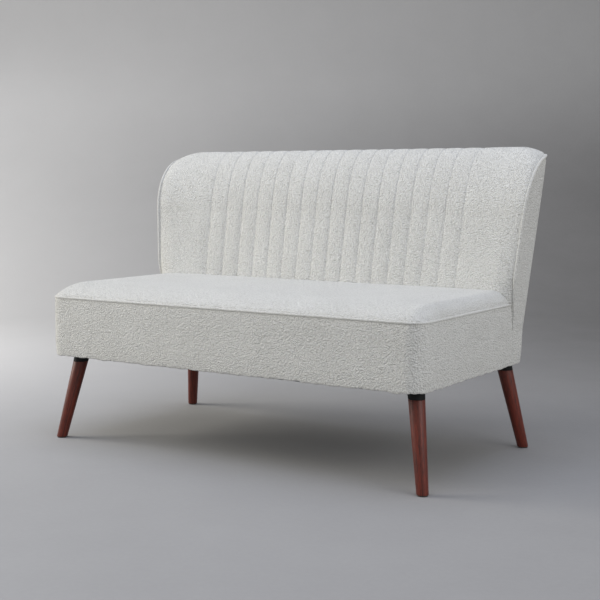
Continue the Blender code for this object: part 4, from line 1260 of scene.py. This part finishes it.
@dataclass
class Legs:
    """The four turned legs and their collars."""

    wardrobe: Wardrobe
    foot_radius: float = 0.0140
    top_radius: float = 0.0205
    sides: int = 64
    foot_bevel: float = 0.0016
    collar_bevel: float = 0.0010
    collar_lip: float = 0.0003
    collar_drop: float = 0.003  # below the collar's solid
    spare: float = 0.12  # of the length, cut off at both ends
    smooth_angle: float = 40.0

    def turned(
        self, name: str, foot: Vector, head: Vector, low: float, high: float, radii: tuple[float, float]
    ) -> bpy.types.Object:
        """Turns a tapered, leaning length between two level cuts.

        Args:
            name: Name of the piece.
            foot: Point of the axis on the floor.
            head: Point of the axis at the top.
            low: Height of the lower cut.
            high: Height of the upper cut.
            radii: Radius at the foot and at the head.

        Returns:
            The turned piece.
        """
        axis = head - foot
        growth = (radii[1] - radii[0]) * self.spare
        bpy.ops.object.select_all(action="DESELECT")
        bpy.ops.mesh.primitive_cone_add(
            vertices=self.sides,
            radius1=radii[0] - growth,
            radius2=radii[1] + growth,
            depth=axis.length * (1 + 2 * self.spare),
            location=(foot + head) / 2,
            rotation=axis.to_track_quat("Z", "Y").to_euler(),
        )
        piece = bpy.context.object
        piece.name = name
        piece.data.name = name
        bpy.ops.object.transform_apply(location=True, rotation=True, scale=True)
        bpy.ops.object.mode_set(mode="EDIT")
        for height, lower in ((low, True), (high, False)):
            bpy.ops.mesh.select_all(action="SELECT")
            bpy.ops.mesh.bisect(
                plane_co=(0, 0, height),
                plane_no=(0, 0, 1),
                use_fill=True,
                clear_inner=lower,
                clear_outer=not lower,
            )
        bpy.ops.object.mode_set(mode="OBJECT")
        return piece

    def bevel_rim(self, piece: bpy.types.Object, height: float, width: float) -> None:
        """Rounds the rim of a piece at a height.

        Args:
            piece: The turned piece.
            height: Height of the rim.
            width: Width of the rounding.
        """
        pick_edges(piece, lambda place: abs(place.z - height) < 1e-5)
        bpy.ops.mesh.bevel(offset=width, segments=3, affect="EDGES")
        bpy.ops.object.mode_set(mode="OBJECT")

    def mark_grain(self, piece: bpy.types.Object, foot: Vector, head: Vector) -> None:
        """Stores each point's place in the leg's own blank, for the wood grain.

        Args:
            piece: The turned leg.
            foot: Point of the axis on the floor.
            head: Point of the axis at the top.
        """
        turn = (head - foot).to_track_quat("Z", "Y").to_matrix()
        places = (points_of(piece) - np.array(foot)) @ np.array(turn)
        places += np.array((foot.x * 3, foot.y * 3, 0))
        grain = piece.data.attributes.new("grain", "FLOAT_VECTOR", "POINT")
        grain.data.foreach_set("vector", places.astype(np.float32).reshape(-1))

    def build_leg(self, where: str) -> None:
        """Builds one leg with its collar.

        Args:
            where: Corner of the seat.
        """
        glide_low, glide_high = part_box(f"foot_glide_{where}")
        collar_low, collar_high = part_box(f"leg_collar_{where}")
        leg_low, leg_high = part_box(f"leg_{where}")
        foot = (glide_low + glide_high) / 2
        foot.z = 0
        middle = (collar_low + collar_high) / 2
        head = foot + (middle - foot) * (collar_high.z / middle.z)
        collar_low.z -= self.collar_drop
        leg_high.z -= self.collar_drop
        radii = (self.foot_radius, self.top_radius)
        leg = self.turned(f"turned_leg_{where}", foot, head, leg_low.z, leg_high.z, radii)
        self.bevel_rim(leg, leg_low.z, self.foot_bevel)
        self.bevel_rim(leg, leg_high.z, self.collar_bevel / 2)
        self.mark_grain(leg, foot, head)
        lip = (self.foot_radius + self.collar_lip, self.top_radius + self.collar_lip)
        collar = self.turned(f"moulded_collar_{where}", foot, head, collar_low.z, collar_high.z, lip)
        self.bevel_rim(collar, collar_low.z, self.collar_bevel)
        for piece in (leg, collar):
            select_only(piece)
            bpy.ops.object.shade_smooth_by_angle(angle=math.radians(self.smooth_angle))
        self.wardrobe.dress(leg, Slot.LEG, f"leg_{where}")
        self.wardrobe.dress(collar, Slot.COLLAR, f"leg_collar_{where}")

    def build(self) -> None:
        """Builds every leg."""
        for where in CORNERS:
            self.build_leg(where)


@dataclass
class Underside:
    """The lining stretched under the seat."""

    form: Form
    wardrobe: Wardrobe
    sag: float = 0.004
    wall: float = 0.0008
    front_corner: float = 0.040
    rear_corner: float = 0.074
    leg_clearance: float = 0.0012
    hole_depth: float = 0.08
    hole_sides: int = 48
    rows: int = 40
    columns: int = 70

    def build(self) -> None:
        """Builds the lining, sagging a little between its tacks, with a hole for each leg."""
        low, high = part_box("dust_cover")
        share = np.linspace(-1, 1, self.columns)
        y = np.linspace(low.y, high.y, self.rows)
        short = np.zeros(self.rows)
        for radius, near in ((self.front_corner, y - low.y), (self.rear_corner, high.y - y)):
            short += radius - np.sqrt(radius**2 - np.clip(radius - near, 0, radius) ** 2)
        x = share[None, :] * (high.x - short)[:, None]
        along = np.sin(np.linspace(0, math.pi, self.rows))[:, None] ** 0.5
        depth = (1 - share**2)[None, :] ** 0.5 * along
        z = high.z - self.wall * 0.5 - self.sag * np.maximum(depth, 0)
        points = np.stack((x, np.repeat(y[:, None], self.columns, axis=1), z), axis=2)
        lining = grid_piece("under_lining", points[:, ::-1])
        apply_modifier(lining, "SOLIDIFY", thickness=self.wall, offset=-1)
        for where in CORNERS:
            self.cut_hole(lining, where)
        self.wardrobe.dress(lining, Slot.LINING, "dust_cover")

    def cut_hole(self, lining: bpy.types.Object, where: str) -> None:
        """Cuts the lining round a leg's collar.

        Args:
            lining: The lining.
            where: Corner of the seat.
        """
        low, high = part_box(f"leg_collar_{where}")
        reach = (high.x - low.x) / 2 + self.leg_clearance
        bpy.ops.object.select_all(action="DESELECT")
        bpy.ops.mesh.primitive_cylinder_add(
            vertices=self.hole_sides,
            radius=reach,
            depth=self.hole_depth,
            location=((low.x + high.x) / 2, (low.y + high.y) / 2, high.z),
        )
        cutter = bpy.context.object
        apply_modifier(lining, "BOOLEAN", operation="DIFFERENCE", solver="EXACT", object=cutter)
        bpy.data.objects.remove(cutter, do_unlink=True)


@dataclass(frozen=True)
class SweepPaintedLight:
    """Painted light and shade on the studio's sweep: paler to the left and darker to the right, most of
    all low on the backdrop, in place of the lamps' falloff.
    """

    view_distance: float = 3.16  # from the camera to the loveseat
    view_share: float = 0.256  # half of the picture's width by the distance
    widest: float = 1.2
    nearest: float = 0.5
    base: float = 0.327  # reflectance of the floor in the middle
    # Reflectance of the darkest painted shade, and the span up to the lightest painted light
    dark_paint: float = 0.155
    paint_span: float = 0.545
    far: tuple[float, float] = (-0.8, 2.8)  # start and run, as those of high and lift
    high: tuple[float, float] = (0.5, 1.4)
    lift: tuple[float, float] = (0.6, 0.8)
    contrasts: tuple[float, float, float] = (0.07, 0.53, -0.40)  # near, far and high
    levels: tuple[float, float, float] = (-0.10, 0.12, 0.26)

    def tone(self, x: np.ndarray, y: np.ndarray, z: np.ndarray) -> np.ndarray:
        """How light the sweep is painted at a place, as painted light and shade.

        Args:
            x: Places across the view.
            y: Places along the view, 0 at the loveseat.
            z: Heights.

        Returns:
            Painted lightness, 0 for the darkest painted shade and 1 for the lightest painted light.
        """
        reach = self.view_share * np.maximum(self.view_distance + y, self.nearest)
        side = np.clip(x / reach, -self.widest, self.widest)
        far, high, lift = (
            eased((place - start) / run)
            for place, (start, run) in ((y, self.far), (z, self.high), (z, self.lift))
        )
        near_contrast, far_contrast, high_contrast = self.contrasts
        contrast = near_contrast + far_contrast * far + high_contrast * high
        near_level, far_level, high_level = self.levels
        level = near_level + far_level * far + high_level * lift
        # Painted light and shade: lighter to the left and darker to the right, most strongly low on the
        # backdrop
        return (self.base * np.exp(level - contrast * side) - self.dark_paint) / self.paint_span


@dataclass
class Studio:
    """Pale sweep with painted light and shade, soft lamps and the camera at the photograph's angle."""

    eye: tuple[float, float, float] = (1.754, -2.6335, 0.71)
    azimuth: float = 33.2
    pitch: float = 5.79
    focal_pixels: float = 1173.0
    image_pixels: float = 600.0
    sensor: float = 36.0
    # Painted light and shade on the sweep
    painted_light: SweepPaintedLight = SweepPaintedLight()
    sweep_width: float = 24.0
    sweep_depth: float = 5.2
    sweep_front: float = 9.0
    sweep_height: float = 6.0
    sweep_round: float = 2.4
    sweep_rows: tuple[int, int, int] = (60, 40, 24)  # floor, rise and backdrop
    sweep_columns: int = 81
    room_colour: str = "#F6F7F8"
    room_strength: float = 0.64
    aim: tuple[float, float, float] = (0.0, 0.0, 0.4)
    # Place, size, power and colour of each lamp
    lamps: dict[str, tuple] = field(
        default_factory=lambda: {
            "key_softbox": ((-4.0, -1.7, 2.0), 2.2, 163.0, "#FFFBF0"),
            "top_softbox": ((0.2, -0.6, 3.6), 3.2, 50.0, "#CFDDFF"),
            "fill_softbox": ((3.8, -0.6, 1.9), 2.6, 47.0, "#FFFFFF"),
        }
    )

    def build_camera(self) -> None:
        """Sets the camera."""
        data = bpy.data.cameras.new("camera")
        data.sensor_width = self.sensor
        data.lens = self.focal_pixels / self.image_pixels * self.sensor
        camera = bpy.data.objects.new("camera", data)
        camera.location = self.eye
        camera.rotation_euler = (math.radians(90 - self.pitch), 0, math.radians(self.azimuth))
        bpy.context.scene.collection.objects.link(camera)
        bpy.context.scene.camera = camera

    def sweep_profile(self) -> np.ndarray:
        """Section of the sweep: the floor, the curved rise and the backdrop, as rows of y and z."""
        on_floor, on_rise, on_wall = self.sweep_rows
        rise_start = self.sweep_depth - self.sweep_round
        floor = np.linspace(-self.sweep_front, rise_start, on_floor, endpoint=False)
        angles = np.radians(np.linspace(0, 90, on_rise))
        arc_y = self.sweep_depth - self.sweep_round * (1 - np.sin(angles))
        arc_z = self.sweep_round * (1 - np.cos(angles))
        wall = np.linspace(self.sweep_round, self.sweep_height, on_wall)[1:]
        y = np.concatenate((floor, arc_y, np.full_like(wall, self.sweep_depth)))
        z = np.concatenate((np.zeros_like(floor), arc_z, wall))
        return np.column_stack((y, z))

    def build_sweep(self) -> None:
        """Models the floor with its curved rise to the backdrop, with light and shade painted on it."""
        profile = self.sweep_profile()
        across = np.linspace(-1, 1, self.sweep_columns) ** 3 * self.sweep_width / 2
        x = np.repeat(across[None, :], len(profile), axis=0)
        y = np.repeat(profile[:, :1], len(across), axis=1)
        z = np.repeat(profile[:, 1:], len(across), axis=1)
        tone = self.painted_light.tone(x, y, z)
        sweep = grid_piece("studio_sweep", np.stack((x, y, z), axis=2))
        # Painted light and shade, stored on each point for the sweep's material
        painted_light = sweep.data.attributes.new("painted_light", "FLOAT", "POINT")
        painted_light.data.foreach_set("value", tone.astype(np.float32).reshape(-1))
        sweep.rotation_euler = (0, 0, math.radians(self.azimuth))
        bpy.ops.object.transform_apply(location=False, rotation=True, scale=False)
        sweep.data.materials.append(Screed().material())

    def build_lamps(self) -> None:
        """Hangs the soft lamps and sets the room's even light."""
        for name, (place, size, power, colour) in self.lamps.items():
            data = bpy.data.lights.new(name, "AREA")
            data.shape = "SQUARE"
            data.size = size
            data.energy = power
            data.color = to_linear(colour)[:3]
            lamp = bpy.data.objects.new(name, data)
            lamp.location = place
            lamp.rotation_euler = (Vector(self.aim) - Vector(place)).to_track_quat("-Z", "Y").to_euler()
            bpy.context.scene.collection.objects.link(lamp)
        world = bpy.data.worlds.new("room_light")
        world.use_nodes = True
        light = world.node_tree.nodes["Background"]
        light.inputs["Color"].default_value = to_linear(self.room_colour)
        light.inputs["Strength"].default_value = self.room_strength
        bpy.context.scene.world = world

    def build(self) -> None:
        """Builds the studio."""
        bpy.context.scene.view_settings.view_transform = "Standard"
        self.build_camera()
        self.build_sweep()
        self.build_lamps()


def main() -> None:
    """Dresses the loveseat and reports each piece."""
    logging.basicConfig(level=logging.INFO, format="%(name)s: %(message)s")
    Studio().build()
    wardrobe = Wardrobe()
    wardrobe.dress_frame()
    form = Form.from_frame()
    Seat(form, wardrobe).build()
    Back(form, wardrobe).build()
    Legs(wardrobe).build()
    Underside(form, wardrobe).build()


if __name__ == "__main__":
    main()
